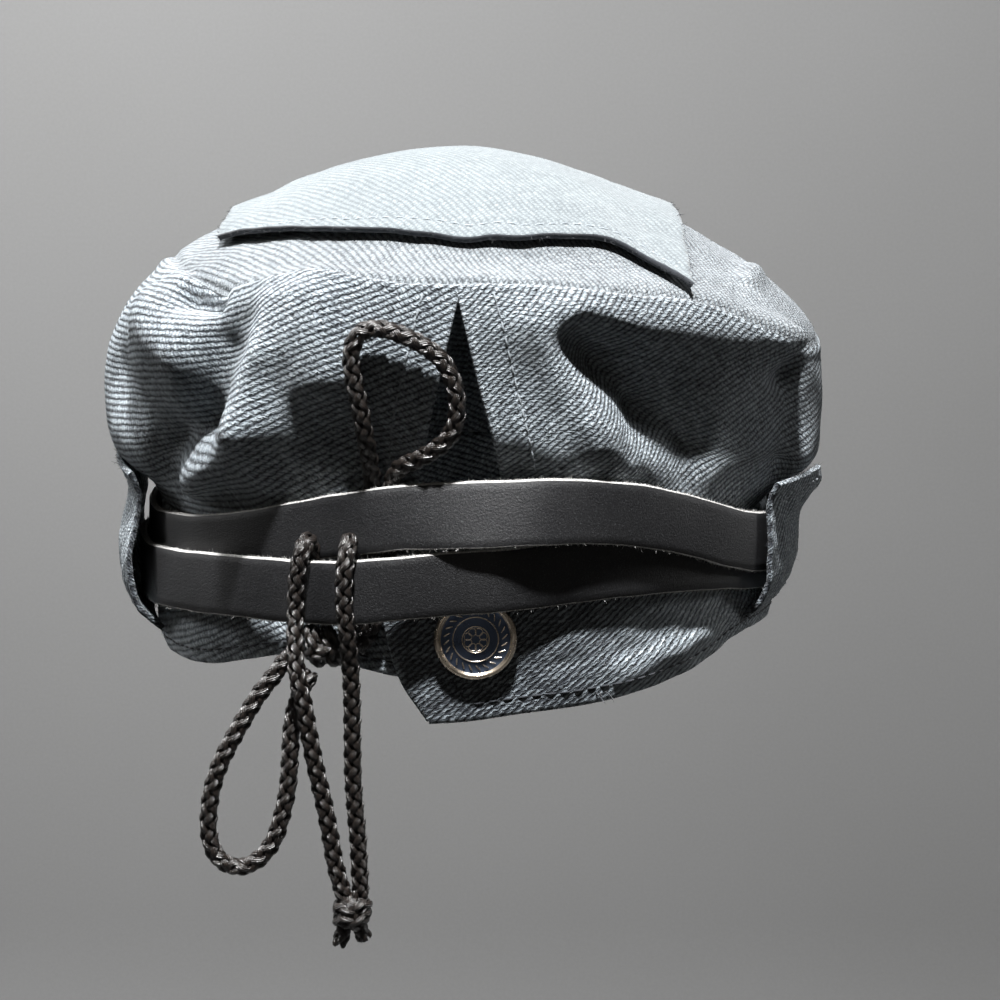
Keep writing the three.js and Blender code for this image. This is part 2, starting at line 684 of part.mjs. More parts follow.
function loopGeometry({ path, rearDeg, frontDeg, bottom, top, closing }) {
  const fromDeg = Math.min(rearDeg, frontDeg);
  const toDeg = Math.max(rearDeg, frontDeg);
  const outer = path.map(() => []);
  const inner = path.map(() => []);
  for (let i = 0; i <= loopSteps; i += 1) {
    const deg = THREE.MathUtils.lerp(fromDeg, toDeg, i / loopSteps);
    const forward = ((deg - rearDeg) / (frontDeg - rearDeg)) ** closing;
    const line = path.map((row) => new THREE.Vector2(
      THREE.MathUtils.lerp(row.rear, row.front, forward),
      THREE.MathUtils.lerp(bottom, top, row.share),
    ));
    line.forEach((point, k) => {
      const before = line[Math.max(k - 1, 0)];
      const after = line[Math.min(k + 1, line.length - 1)];
      const along = after.clone().sub(before).normalize();
      outer[k].push(roundBand(deg, point.x, point.y));
      inner[k].push(roundBand(deg, point.x - along.y * loopThickness, point.y + along.x * loopThickness));
    });
  }
  return solidFromGrids(outer, inner);
}

function peakGeometry() {
  const outer = [];
  const inner = [];
  for (let j = 0; j <= peakRows; j += 1) {
    const share = j / peakRows;
    const outerRow = [];
    const innerRow = [];
    for (let i = 0; i <= peakColumns; i += 1) {
      const turn = THREE.MathUtils.lerp(-1, 1, i / peakColumns);
      const deg = 90 + turn * peakHalfSpan;
      const fullness = Math.max(1 - turn * turn, 0) ** peakFullness;
      const reach = peakEndReach + (peakReach - peakEndReach) * fullness;
      const out = peakRootGap + share * reach;
      const z = peakRootTop - peakSlope * share * reach;
      const side = Math.cos(toRadians(deg)) * (bandHalfWidth + peakRootGap + share * reach * peakSideShare);
      const point = new THREE.Vector3(side, Math.sin(toRadians(deg)) * (bandHalfLength + out), z);
      outerRow.push(point);
      innerRow.push(point.clone().setZ(z - peakThickness));
    }
    outer.push(outerRow.reverse());
    inner.push(innerRow.reverse());
  }
  return solidFromGrids(outer, inner);
}

function buttonGeometry() {
  const profile = buttonProfile.map((row) => new THREE.Vector2(row.radius, row.height));
  return new THREE.LatheGeometry(profile, buttonSides);
}

// The cord's round section swept along its route
function cordGeometry(route) {
  const section = new THREE.Shape();
  for (let n = 0; n < cordSides; n += 1) {
    const angle = (n * 2 * Math.PI) / cordSides;
    const x = (cordDiameter / 2) * Math.cos(angle);
    const y = (cordDiameter / 2) * Math.sin(angle);
    if (n === 0) section.moveTo(x, y);
    else section.lineTo(x, y);
  }
  const path = new THREE.CatmullRomCurve3(route.points.map(([x, y, z]) => new THREE.Vector3(x, y, z)));
  return new THREE.ExtrudeGeometry(section, { steps: route.steps, extrudePath: path, bevelEnabled: false });
}

function knotGeometry({ size }) {
  const geometry = new THREE.IcosahedronGeometry(0.5, 2);
  geometry.scale(size[0], size[1], size[2]);
  return geometry;
}

const cap = new THREE.Group();
cap.name = 'biker_cap';

function addPiece(name, geometry, look) {
  const mesh = new THREE.Mesh(geometry, new THREE.MeshStandardMaterial(look));
  mesh.name = name;
  cap.add(mesh);
  return mesh;
}

addPiece('crown', crownGeometry(), denim);
addPiece('top_panel', topPanelGeometry(), paleDenim);
addPiece('band', bandGeometry(), denim);
addPiece('strap_upper', strapGeometry(strapUpperRows), leather);
addPiece('strap_lower', strapGeometry(strapLowerRows), leather);
for (const loop of loops) addPiece(loop.name, loopGeometry(loop), denim);
addPiece('peak', peakGeometry(), denim);

const tabOut = smoothTable(bandRows, 'along', 'out', backAlong);
const buttonDeg = -THREE.MathUtils.radToDeg(Math.acos(buttonX / (bandHalfWidth + tabOut)));
const button = addPiece('button', buttonGeometry(), nickel);
button.position.copy(roundBand(buttonDeg, tabOut + buttonFaceGap, buttonZ));
const tabNormal = new THREE.Vector3(
  Math.cos(toRadians(buttonDeg)) / (bandHalfWidth + tabOut),
  Math.sin(toRadians(buttonDeg)) / (bandHalfLength + tabOut),
  0,
).normalize();
button.quaternion.setFromUnitVectors(new THREE.Vector3(0, 1, 0), tabNormal);

for (const route of cordRoutes) addPiece(route.name, cordGeometry(route), braid);
addPiece('bow_knot', knotGeometry(bowKnot), braid).position.set(...bowKnot.at);
addPiece('end_knot', knotGeometry(endKnot), braid).position.set(...endKnot.at);

export default cap;
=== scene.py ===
import math

import bmesh
import bpy
import numpy as np
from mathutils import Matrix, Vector


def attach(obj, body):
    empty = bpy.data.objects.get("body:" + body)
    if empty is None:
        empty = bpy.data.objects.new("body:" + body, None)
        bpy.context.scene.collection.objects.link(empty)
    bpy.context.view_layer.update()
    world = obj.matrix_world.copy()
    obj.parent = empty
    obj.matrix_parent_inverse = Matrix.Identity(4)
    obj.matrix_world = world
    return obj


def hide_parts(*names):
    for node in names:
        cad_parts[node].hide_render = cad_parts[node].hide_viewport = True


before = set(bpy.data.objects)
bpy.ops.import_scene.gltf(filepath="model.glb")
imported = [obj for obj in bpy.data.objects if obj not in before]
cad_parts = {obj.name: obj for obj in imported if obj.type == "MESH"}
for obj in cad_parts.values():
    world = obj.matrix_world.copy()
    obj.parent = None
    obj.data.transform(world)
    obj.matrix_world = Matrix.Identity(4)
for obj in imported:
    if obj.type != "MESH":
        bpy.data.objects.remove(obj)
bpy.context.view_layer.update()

MM = 0.001
TURN = 2 * math.pi
UP = np.array([0, 0, 1.0])
CLOTH_THICKNESS = 2.0
PANEL_THICKNESS = 1.6
LOOP_THICKNESS = 1.6
STRAP_WIDTH = 15.8
STRAP_THICKNESS = 1.8
BAND_HALF_WIDTH = 84.0
BAND_HALF_LENGTH = 101.0
CORD_DIAMETER = 4.4
WELD = 2e-6

random = np.random.default_rng(11)


# Tables and smooth curves through them

def table(columns, rows):
    """A dictionary of one array for each named column."""
    return dict(zip(columns.split(), np.array(rows, float).T))


def hermite(a, b, slope_a, slope_b, t):
    t2 = t * t
    t3 = t2 * t
    rise = 3 * t2 - 2 * t3
    return (1 - rise) * a + rise * b + (t3 - 2 * t2 + t) * slope_a + (t3 - t2) * slope_b


def smooth_table(rows, key, value, at):
    """A smooth curve through a table's rows, read at one place or many."""
    keys, values = rows[key], rows[value]
    last = len(keys) - 1
    here = np.arange(last + 1)
    high = np.minimum(here + 1, last)
    low = np.maximum(here - 1, 0)
    slopes = (values[high] - values[low]) / (keys[high] - keys[low])
    k = np.clip(np.searchsorted(keys[1:-1], at), 0, last - 1)
    width = keys[k + 1] - keys[k]
    t = np.clip((at - keys[k]) / width, 0, 1)
    return hermite(values[k], values[k + 1], slopes[k] * width, slopes[k + 1] * width, t)


def smooth_around(rows, value, deg):
    """The same for a table in degrees that closes on itself."""
    closed = {name: np.concatenate([rows[name][-2:] - turn, rows[name], rows[name][:2] + turn])
              for name, turn in (("deg", 360), (value, 0))}
    return smooth_table(closed, "deg", value, deg)


def unit(vectors):
    return vectors / np.maximum(np.linalg.norm(vectors, axis=-1, keepdims=True), 1e-9)


def bump_at(distance, width):
    return np.exp(-((distance / width) ** 2))


def mound(value, height, middle, width):
    """A rounded rise with its height, middle and half width, read at a value."""
    return height * bump_at(value - middle, width)


def rising(value, reach):
    """A share that goes from 0 to 1 as a value goes from 0 to its reach."""
    return np.clip(value / reach, 0, 1)


RIPPLE_WAVES = 7
RIPPLE_REACH = 1.4 * RIPPLE_WAVES ** 0.5


def ripple(points, wavelength, seed):
    """Smooth irregular unevenness from about -1 to 1 over points in millimetres."""
    picker = np.random.default_rng(seed)
    total = np.zeros(points.shape[:-1])
    for _ in range(RIPPLE_WAVES):
        direction = unit(picker.normal(size=3))
        stretch = picker.uniform(0.7, 1.5)
        phase = picker.uniform(0, TURN)
        total = total + np.sin(points @ direction * (TURN / (wavelength * stretch)) + phase)
    return total / RIPPLE_REACH


def ripples(points, waves):
    """A sum of ripples, each with its height, wavelength and seed."""
    return sum(height * ripple(points, wavelength, seed) for height, wavelength, seed in waves)


# Camera: behind the cap, ten degrees above it, with a long lens

CAMERA_TARGET = Vector((0.01008, 0.0, 0.0387))
CAMERA_DISTANCE = 0.8
CAMERA_ELEVATION = math.radians(10)
CAMERA_LENS = 102.85


def add_aimed(name, data, place, target):
    """A camera or light at its place, turned to its target."""
    item = bpy.data.objects.new(name, data)
    item.location = place
    item.rotation_euler = (Vector(target) - Vector(place)).to_track_quat("-Z", "Y").to_euler()
    bpy.context.collection.objects.link(item)
    return item


def add_camera():
    data = bpy.data.cameras.new("camera")
    data.lens = CAMERA_LENS
    data.sensor_width = 36.0
    back = Vector((0.0, -math.cos(CAMERA_ELEVATION), math.sin(CAMERA_ELEVATION)))
    place = CAMERA_TARGET + back * CAMERA_DISTANCE
    bpy.context.scene.camera = add_aimed("camera", data, place, CAMERA_TARGET)


# Node materials

class Nodes:
    """Short calls for the nodes of one material."""

    def __init__(self, name):
        self.material = bpy.data.materials.new(name)
        self.material.use_nodes = True
        self.nodes = self.material.node_tree.nodes
        self.link = self.material.node_tree.links.new

    def put(self, socket, value):
        if isinstance(value, bpy.types.NodeSocket):
            self.link(value, socket)
        else:
            socket.default_value = (*value, 1.0) if isinstance(value, tuple) else value

    def math(self, operation, a, b=0.0):
        node = self.nodes.new("ShaderNodeMath")
        node.operation = operation
        self.put(node.inputs[0], a)
        self.put(node.inputs[1], b)
        return node.outputs[0]

    def times(self, a, b):
        return self.math("MULTIPLY", a, b)

    def add(self, total, *others):
        for other in others:
            total = self.math("ADD", total, other)
        return total

    def swing(self, share, amount):
        """A share from 0 to 1 as a swing to both sides of zero."""
        return self.times(self.math("SUBTRACT", share, 0.5), amount)

    def span(self, value, low, high, to_low=0.0, to_high=1.0):
        node = self.nodes.new("ShaderNodeMapRange")
        for socket, setting in zip(node.inputs, (value, low, high, to_low, to_high)):
            self.put(socket, setting)
        return node.outputs[0]

    def mix(self, factor, a, b):
        node = self.nodes.new("ShaderNodeMix")
        node.data_type = "RGBA"
        for socket, value in ((0, factor), (6, a), (7, b)):
            self.put(node.inputs[socket], value)
        return node.outputs[2]

    def noise(self, scale, detail=2.0, roughness=0.5):
        node = self.nodes.new("ShaderNodeTexNoise")
        for name, value in (("Scale", scale), ("Detail", detail), ("Roughness", roughness)):
            node.inputs[name].default_value = value
        self.link(self.nodes.new("ShaderNodeTexCoord").outputs["Object"], node.inputs["Vector"])
        return node.outputs["Fac"]

    def cell(self, a, b):
        """A steady random number for each pair of whole numbers."""
        joined = self.nodes.new("ShaderNodeCombineXYZ")
        self.put(joined.inputs[0], a)
        self.put(joined.inputs[1], b)
        node = self.nodes.new("ShaderNodeTexWhiteNoise")
        self.link(joined.outputs[0], node.inputs["Vector"])
        return node.outputs["Value"]

    def cloth(self):
        """The cloth's own coordinates, across and along the weave, in metres."""
        node = self.nodes.new("ShaderNodeUVMap")
        node.uv_map = "cloth"
        split = self.nodes.new("ShaderNodeSeparateXYZ")
        self.link(node.outputs[0], split.inputs[0])
        return split.outputs[0], split.outputs[1]

    def wear(self):
        node = self.nodes.new("ShaderNodeAttribute")
        node.attribute_name = "wear"
        return node.outputs["Fac"]

    def finish(self, color, roughness, height=None, distance=0.0, **constants):
        inputs = self.nodes["Principled BSDF"].inputs
        self.put(inputs["Base Color"], color)
        self.put(inputs["Roughness"], roughness)
        if height is not None:
            bump = self.nodes.new("ShaderNodeBump")
            bump.inputs["Distance"].default_value = distance
            self.link(height, bump.inputs["Height"])
            self.link(bump.outputs[0], inputs["Normal"])
        for name, value in constants.items():
            inputs[name.replace("_", " ")].default_value = value
        return self.material


RIB_PITCH = 0.00176
BEAD_PITCH = 0.00125
FIBRE_PITCH = 0.00032
WEAR_AND_PAINTED_LIGHT_TONE = 0.35
COTTON_ROUGHNESS = 0.95


def denim(name, light, dark, ridge, relief):
    """Coarse twill: ribs of short twisted beads of yarn, each bead its own tone, darkened in the valleys as
    painted shade and palest on the crests, partly real fading and partly painted highlight.
    """
    n = Nodes(name)
    across, along = n.cloth()
    drift = n.swing(n.noise(90.0), 0.6)
    jitter = n.swing(n.noise(1100.0), 0.8)
    rib = n.add(n.math("DIVIDE", across, RIB_PITCH), drift, jitter)
    number = n.math("FLOOR", rib)
    phase = n.math("FRACT", rib)
    crest = n.math("SINE", n.times(phase, math.pi))
    lean = n.add(n.cell(number, 0.5), n.times(phase, 0.9))
    yarn = n.add(n.math("DIVIDE", along, BEAD_PITCH), lean, jitter)
    bead = n.math("ABSOLUTE", n.math("SINE", n.times(yarn, math.pi)))
    own = n.cell(number, n.math("FLOOR", yarn))
    fuzz = n.noise(3000.0, 3.0, 0.7)
    fluff = n.noise(900.0, 3.0, 0.65)
    patch = n.span(n.noise(28.0, 3.0), 0.3, 0.7, -0.10, 0.10)
    # The wear attribute holds real rubbing, and on some pieces painted light and painted shade too
    worn_and_painted_light = n.times(n.wear(), WEAR_AND_PAINTED_LIGHT_TONE)
    height = n.add(n.times(crest, n.span(bead, 0.0, 0.8, 0.4, 1.0)), n.times(fuzz, 0.55))
    tone = n.add(n.times(height, 0.8), n.swing(fluff, 0.9), n.swing(own, 0.3), patch, worn_and_painted_light)
    # Low yarn takes the dark colour, painted shade between the ribs; the highest crests take the ridge
    # colour, partly real fading and partly painted highlight
    color = n.mix(n.span(tone, 0.2, 0.9), dark, light)
    color = n.mix(n.span(tone, 0.9, 1.3), color, ridge)
    return n.finish(color, COTTON_ROUGHNESS, height, relief,
                    Sheen_Weight=0.2, Sheen_Roughness=0.5, Specular_IOR_Level=0.15)


def leather(name):
    """Black satin leather with fine grain, a faint worn bloom and small pale flecks, which are painted
    glints.
    """
    n = Nodes(name)
    grain = n.noise(1900.0, 3.0, 0.6)
    pores = n.noise(5200.0, 2.0, 0.6)
    bloom = n.span(n.noise(45.0, 3.0), 0.35, 0.7)
    fleck = n.span(n.noise(2400.0, 3.0, 0.7), 0.56, 0.72)
    height = n.add(n.times(grain, 0.7), n.times(pores, 0.5))
    color = n.mix(bloom, (0.006, 0.006, 0.007), (0.013, 0.013, 0.014))
    # Pale flecks: painted glints in place of the satin's speckled highlights
    color = n.mix(fleck, color, (0.045, 0.047, 0.050))
    return n.finish(color, n.span(pores, 0.3, 0.7, 0.38, 0.62), height, 0.00022, Specular_IOR_Level=0.4)


def leather_edge(name):
    """The cut edge: pale raw fibre."""
    n = Nodes(name)
    fibre = n.noise(2600.0, 4.0, 0.7)
    color = n.mix(n.span(fibre, 0.35, 0.65), (0.20, 0.196, 0.19), (0.66, 0.65, 0.63))
    return n.finish(color, 1.0, fibre, 0.0004, Specular_IOR_Level=0.2)


def braid_yarn(name):
    """Glossy dark yarn with fibres along each strand."""
    n = Nodes(name)
    around, _ = n.cloth()
    fibres = n.math("SINE", n.times(around, TURN / FIBRE_PITCH))
    fleck = n.noise(1800.0, 2.0, 0.6)
    color = n.mix(n.span(fleck, 0.35, 0.7), (0.003, 0.0024, 0.002), (0.020, 0.014, 0.011))
    height = n.add(n.times(fibres, 0.5), n.times(fleck, 1.2))
    return n.finish(color, 0.36, height, 0.00016, Specular_IOR_Level=0.8)


def thread(name, low, high):
    """Loose cotton thread."""
    n = Nodes(name)
    color = n.mix(n.noise(700.0), low, high)
    return n.finish(color, COTTON_ROUGHNESS, n.noise(4000.0), 0.0001, Sheen_Weight=0.2)


def nickel(name, color, rough):
    """Polished plated metal with fine rubbing marks."""
    n = Nodes(name)
    smear = n.noise(260.0, 4.0, 0.6)
    return n.finish(color, n.span(smear, 0.3, 0.7, rough, rough + 0.14), smear, 0.00002, Metallic=1.0)


MATERIALS = {name: make(name, *settings) for name, make, *settings in (
    ("denim", denim, (0.295, 0.338, 0.370), (0.020, 0.024, 0.031), (0.54, 0.59, 0.625), 0.0011),
    # The upper and top copies are darker with faint ribs: painted shade that tempers the strong key on faces
    # turned up, with ribs washed out as if by its glare
    ("denim_upper_painted_shade", denim, (0.175, 0.198, 0.214), (0.03, 0.035, 0.042), (0.27, 0.295, 0.31), 0.0008),
    ("denim_top", denim, (0.142, 0.160, 0.168), (0.082, 0.094, 0.101), (0.19, 0.21, 0.217), 0.0003),
    ("leather", leather),
    ("leather_edge", leather_edge),
    # The rim's strong warm tint is partly the metal's own and partly a painted reflection of warm
    # surroundings; the face's dark blue is a painted reflection of a blue surround
    ("nickel", nickel, (0.86, 0.74, 0.60), 0.20),
    ("nickel_face_painted_reflection", nickel, (0.14, 0.18, 0.27), 0.24),
    ("cord", braid_yarn),
    ("thread_dark_and_painted_shade", thread, (0.004, 0.005, 0.007), (0.03, 0.034, 0.042)),
    ("thread_light", thread, (0.10, 0.115, 0.13), (0.30, 0.33, 0.35)),
)}


# Meshes from grids of points

# Sides of a grid: the line of points there, one a little inside it, and whether the rim's faces turn over
SIDES = {
    "first column": (np.s_[:, 0], np.s_[:, 3], True),
    "last column": (np.s_[:, -1], np.s_[:, -4], False),
    "first row": (np.s_[0], np.s_[3], False),
    "last row": (np.s_[-1], np.s_[-4], True),
}
# Lines of a rounded rim: share from the outer to the inner face, and share of its bulge
RIM = ((0, 0), (0.22, 0.8), (0.5, 1), (0.78, 0.8), (1, 0))
RIM_UV_STEP = 0.5


class Piece:
    """Collects grids of points in millimetres and makes one welded mesh of them."""

    def __init__(self, name, *materials):
        self.name = name
        self.materials = materials
        self.points, self.faces, self.uvs, self.wears, self.slots = [], [], [], [], []
        self.count = 0

    def grid(self, points, uv=None, wear=0.0, material=0, flip=False):
        """Adds the quads of one grid, or of many with one layout. The last axes are rows, columns, xyz."""
        points = np.asarray(points, float)
        rows, columns = points.shape[-3:-1]
        uv = np.broadcast_to(points[..., :2] if uv is None else uv, (*points.shape[:-1], 2)).reshape(-1, 2)
        index = np.arange(len(uv)).reshape(-1, rows, columns)
        corners = [index[:, :-1, :-1], index[:, :-1, 1:], index[:, 1:, 1:], index[:, 1:, :-1]]
        quads = np.stack(corners[::-1] if flip else corners, axis=-1).reshape(-1, 4)
        self.points.append(points.reshape(-1, 3))
        self.faces.append(quads + self.count)
        self.uvs.append(uv[quads.ravel()])
        self.wears.append(np.broadcast_to(wear, points.shape[:-1]).ravel())
        self.slots.append(np.full(len(quads), material, np.int32))
        self.count += len(uv)

    def rim(self, side, outer, inner, uv, bulge, toward=None, **looks):
        """A rounded edge along one side of a sheet. Gives the middle of the edge and the way it faces."""
        line, inside, flip = SIDES[side]
        if toward is None:
            toward = unit(outer[line] - outer[inside])
        points = [outer[line] * (1 - share) + inner[line] * share + toward * (bulge * swell)
                  for share, swell in RIM]
        uvs = [uv[line] + [0.0, RIM_UV_STEP * k] for k in range(len(RIM))]
        self.grid(np.stack(points, axis=1), np.stack(uvs, axis=1), flip=flip, **looks)
        return (outer[line] + inner[line]) / 2, toward

    def finish(self, slot, node):
        """One object, welded, smooth, riding on the cap in place of a CAD node."""
        mesh = bpy.data.meshes.new(self.name)
        points = np.concatenate(self.points) * MM
        mesh.from_pydata(points.tolist(), [], np.concatenate(self.faces).tolist())
        mesh.polygons.foreach_set("material_index", np.concatenate(self.slots))
        mesh.uv_layers.new(name="cloth").data.foreach_set("uv", (np.concatenate(self.uvs) * MM).ravel())
        mesh.attributes.new("wear", "FLOAT", "POINT").data.foreach_set("value", np.concatenate(self.wears))
        shape = bmesh.new()
        shape.from_mesh(mesh)
        bmesh.ops.remove_doubles(shape, verts=shape.verts, dist=WELD)
        bmesh.ops.dissolve_degenerate(shape, edges=shape.edges, dist=WELD / 2)
        shape.to_mesh(mesh)
        shape.free()
        mesh.shade_smooth()
        for material in self.materials:
            mesh.materials.append(MATERIALS[material])
        item = bpy.data.objects.new(self.name, mesh)
        bpy.context.collection.objects.link(item)
        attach(item, "root")
        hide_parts(node)
        return item


# Tubes, braids, stitches and hairs

def lengths_along(path):
    return np.concatenate([[0], np.cumsum(np.linalg.norm(np.diff(path, axis=0), axis=1))])


def read_at(at, along, values):
    """Rows of three values, read at places along a line."""
    return np.stack([np.interp(at, along, values[:, k]) for k in range(3)], axis=-1)


CURVE_STEPS = 24


def smooth_path(points, step):
    """A centripetal curve through the points, sampled evenly."""
    p = np.asarray(points, float)
    p = np.vstack([2 * p[0] - p[1], p, 2 * p[-1] - p[-2]])
    t = np.linspace(0, 1, CURVE_STEPS, endpoint=False)[:, None]
    runs = []
    for a, b, c, d in zip(p, p[1:], p[2:], p[3:]):
        d0, d1, d2 = (np.linalg.norm(q) ** 0.5 for q in (b - a, c - b, d - c))
        slope_b = ((b - a) / d0 - (c - a) / (d0 + d1) + (c - b) / d1) * d1
        slope_c = ((c - b) / d1 - (d - b) / (d1 + d2) + (d - c) / d2) * d1
        runs.append(hermite(b, c, slope_b, slope_c, t))
    fine = np.vstack([*runs, p[-2:-1]])
    along = lengths_along(fine)
    return read_at(np.linspace(0, along[-1], max(int(round(along[-1] / step)), 2) + 1), along, fine)


def frames_along(path):
    """Two side directions at each point of a path, carried along it without twist."""
    tangents = unit(np.gradient(path, axis=0))
    start = np.cross(tangents[0], [0.0, 1.0, 0.0])
    side = start if np.linalg.norm(start) > 0.1 else np.cross(tangents[0], [1.0, 0.0, 0.0])
    sides = []
    for tangent in tangents:
        side = unit(side - tangent * np.dot(side, tangent))
        sides.append(side)
    sides = np.array(sides)
    return sides, np.cross(tangents, sides)


def rings(first, second, reach_first, reach_second, around):
    """Rings of points about a path, from two directions and how far the ring reaches along each."""
    return (first[..., None, :] * (np.cos(around) * reach_first[..., None])[..., None]
            + second[..., None, :] * (np.sin(around) * reach_second[..., None])[..., None])


BRAID_STRANDS = 8
BRAID_TURN = 17.6
BRAID_STEP = 0.6
BRAID_END = 0.8
STRAND_WIDTH = 1.62
STRAND_HEIGHT = 1.02
STRAND_SIDES = 8
# How far strands lie from the cord's middle, as a share of its diameter, and how they rise and widen on top
STRAND_ORBIT = 0.345
STRAND_RISE = 0.34
STRAND_SPREAD = 0.12


def braid(piece, points, diameter=CORD_DIAMETER):
    """Round braid: half of the strands turn one way and half the other, passing over and under by turns."""
    path = smooth_path(points, BRAID_STEP)
    size = diameter / CORD_DIAMETER
    sides, others = frames_along(path)
    along = lengths_along(path)
    turned = TURN * along / (BRAID_TURN * size)
    around = np.linspace(0, TURN, STRAND_SIDES + 1)
    uv = np.stack(np.meshgrid(around * STRAND_WIDTH / 3, along), axis=-1)
    half = BRAID_STRANDS // 2
    taper = rising(np.minimum(along, along[-1] - along), BRAID_END) ** 0.5
    for strand in range(BRAID_STRANDS):
        way = 1 if strand < half else -1
        turn = way * turned + TURN * (strand % half) / half
        outward = sides * np.cos(turn)[:, None] + others * np.sin(turn)[:, None]
        lift = way * np.cos(half * turned)
        centre = path + outward * (STRAND_ORBIT * diameter + STRAND_RISE * size * lift)[:, None]
        run = unit(np.gradient(centre, axis=0))
        across = unit(np.cross(run, outward))
        width = (STRAND_WIDTH * size / 2) * (1 + STRAND_SPREAD * lift) * taper
        height = (STRAND_HEIGHT * size / 2) * taper
        piece.grid(centre[:, None] + rings(across, np.cross(across, run), width, height, around),
                   uv=uv, flip=True)
    return path


def tubes(piece, lines, radius, sides, material=0):
    """Thin tubes along many lines of points with one layout: axes are line, point, xyz."""
    tangents = unit(np.gradient(lines, axis=1))
    helper = np.where(np.abs(tangents[..., 2:]) < 0.8, [0.0, 0.0, 1.0], [1.0, 0.0, 0.0])
    side = unit(np.cross(tangents, helper))
    radius = np.broadcast_to(radius, lines.shape[:2])
    around = np.linspace(0, TURN, sides + 1)
    ring = rings(side, np.cross(tangents, side), radius, radius, around)
    piece.grid(lines[:, :, None] + ring, uv=(0.0, 0.0), material=material)


STITCH_LENGTH = 2.9
STITCH_GAP = 0.75
STITCH_RADIUS = 0.27
STITCH_RISE = 0.34
STITCH_SINK = 0.22
STITCH_POINTS = 7
STITCH_SIDES = 6


def stitches(piece, path, normals, material):
    """A row of sewn stitches on a line over the cloth, each pulled in at its ends."""
    along = lengths_along(path)
    starts = np.arange(STITCH_GAP, along[-1] - STITCH_LENGTH, STITCH_LENGTH + STITCH_GAP)
    share = np.linspace(0, 1, STITCH_POINTS)
    at = starts[:, None] + share * STITCH_LENGTH
    rise = STITCH_RISE * np.sin(share * math.pi) ** 0.5 - STITCH_SINK
    line = read_at(at, along, path) + unit(read_at(at, along, normals)) * rise[:, None]
    thick = STITCH_RADIUS * np.sin(np.clip(share, 0.04, 0.96) * math.pi) ** 0.3
    tubes(piece, line, thick, STITCH_SIDES, material)


HAIR_SIDES = 3
HAIR_THINNING = 0.75


def hairs(piece, roots, directions, length, radius, material, curl, steps=4):
    """Loose fibres from their roots, each bent a little its own way and thinning to its tip."""
    share = np.linspace(0, 1, steps)
    bend = random.normal(size=roots.shape) * curl
    way = unit(directions)[:, None] * share[:, None] + bend[:, None] * (share ** 2)[:, None]
    line = roots[:, None] + way * np.asarray(length)[:, None, None]
    tubes(piece, line, radius * (1 - HAIR_THINNING * share), HAIR_SIDES, material)


def along_line(path, spacing):
    """Even random places along a line of points, as positions and their shares of the line."""
    along = lengths_along(path)
    at = np.sort(random.uniform(0, along[-1], int(along[-1] / spacing)))
    return read_at(at, along, path), at / along[-1]


FRAY_CURL = 0.5


def fray(piece, middle, toward, spacing, scatter, inset, spread, lengths, radius, material):
    """Short threads out of a raw edge, from its middle line and the way that it faces."""
    roots, share = along_line(middle, spacing)
    out = read_at(share, np.linspace(0, 1, len(toward)), toward)
    roots = roots + random.normal(size=roots.shape) * scatter - out * inset
    ways = out + random.normal(size=out.shape) * spread
    hairs(piece, roots, ways, random.uniform(*lengths, len(roots)), radius, material, FRAY_CURL)


# Cord: its routes, as points along the middle of the cord in millimetres

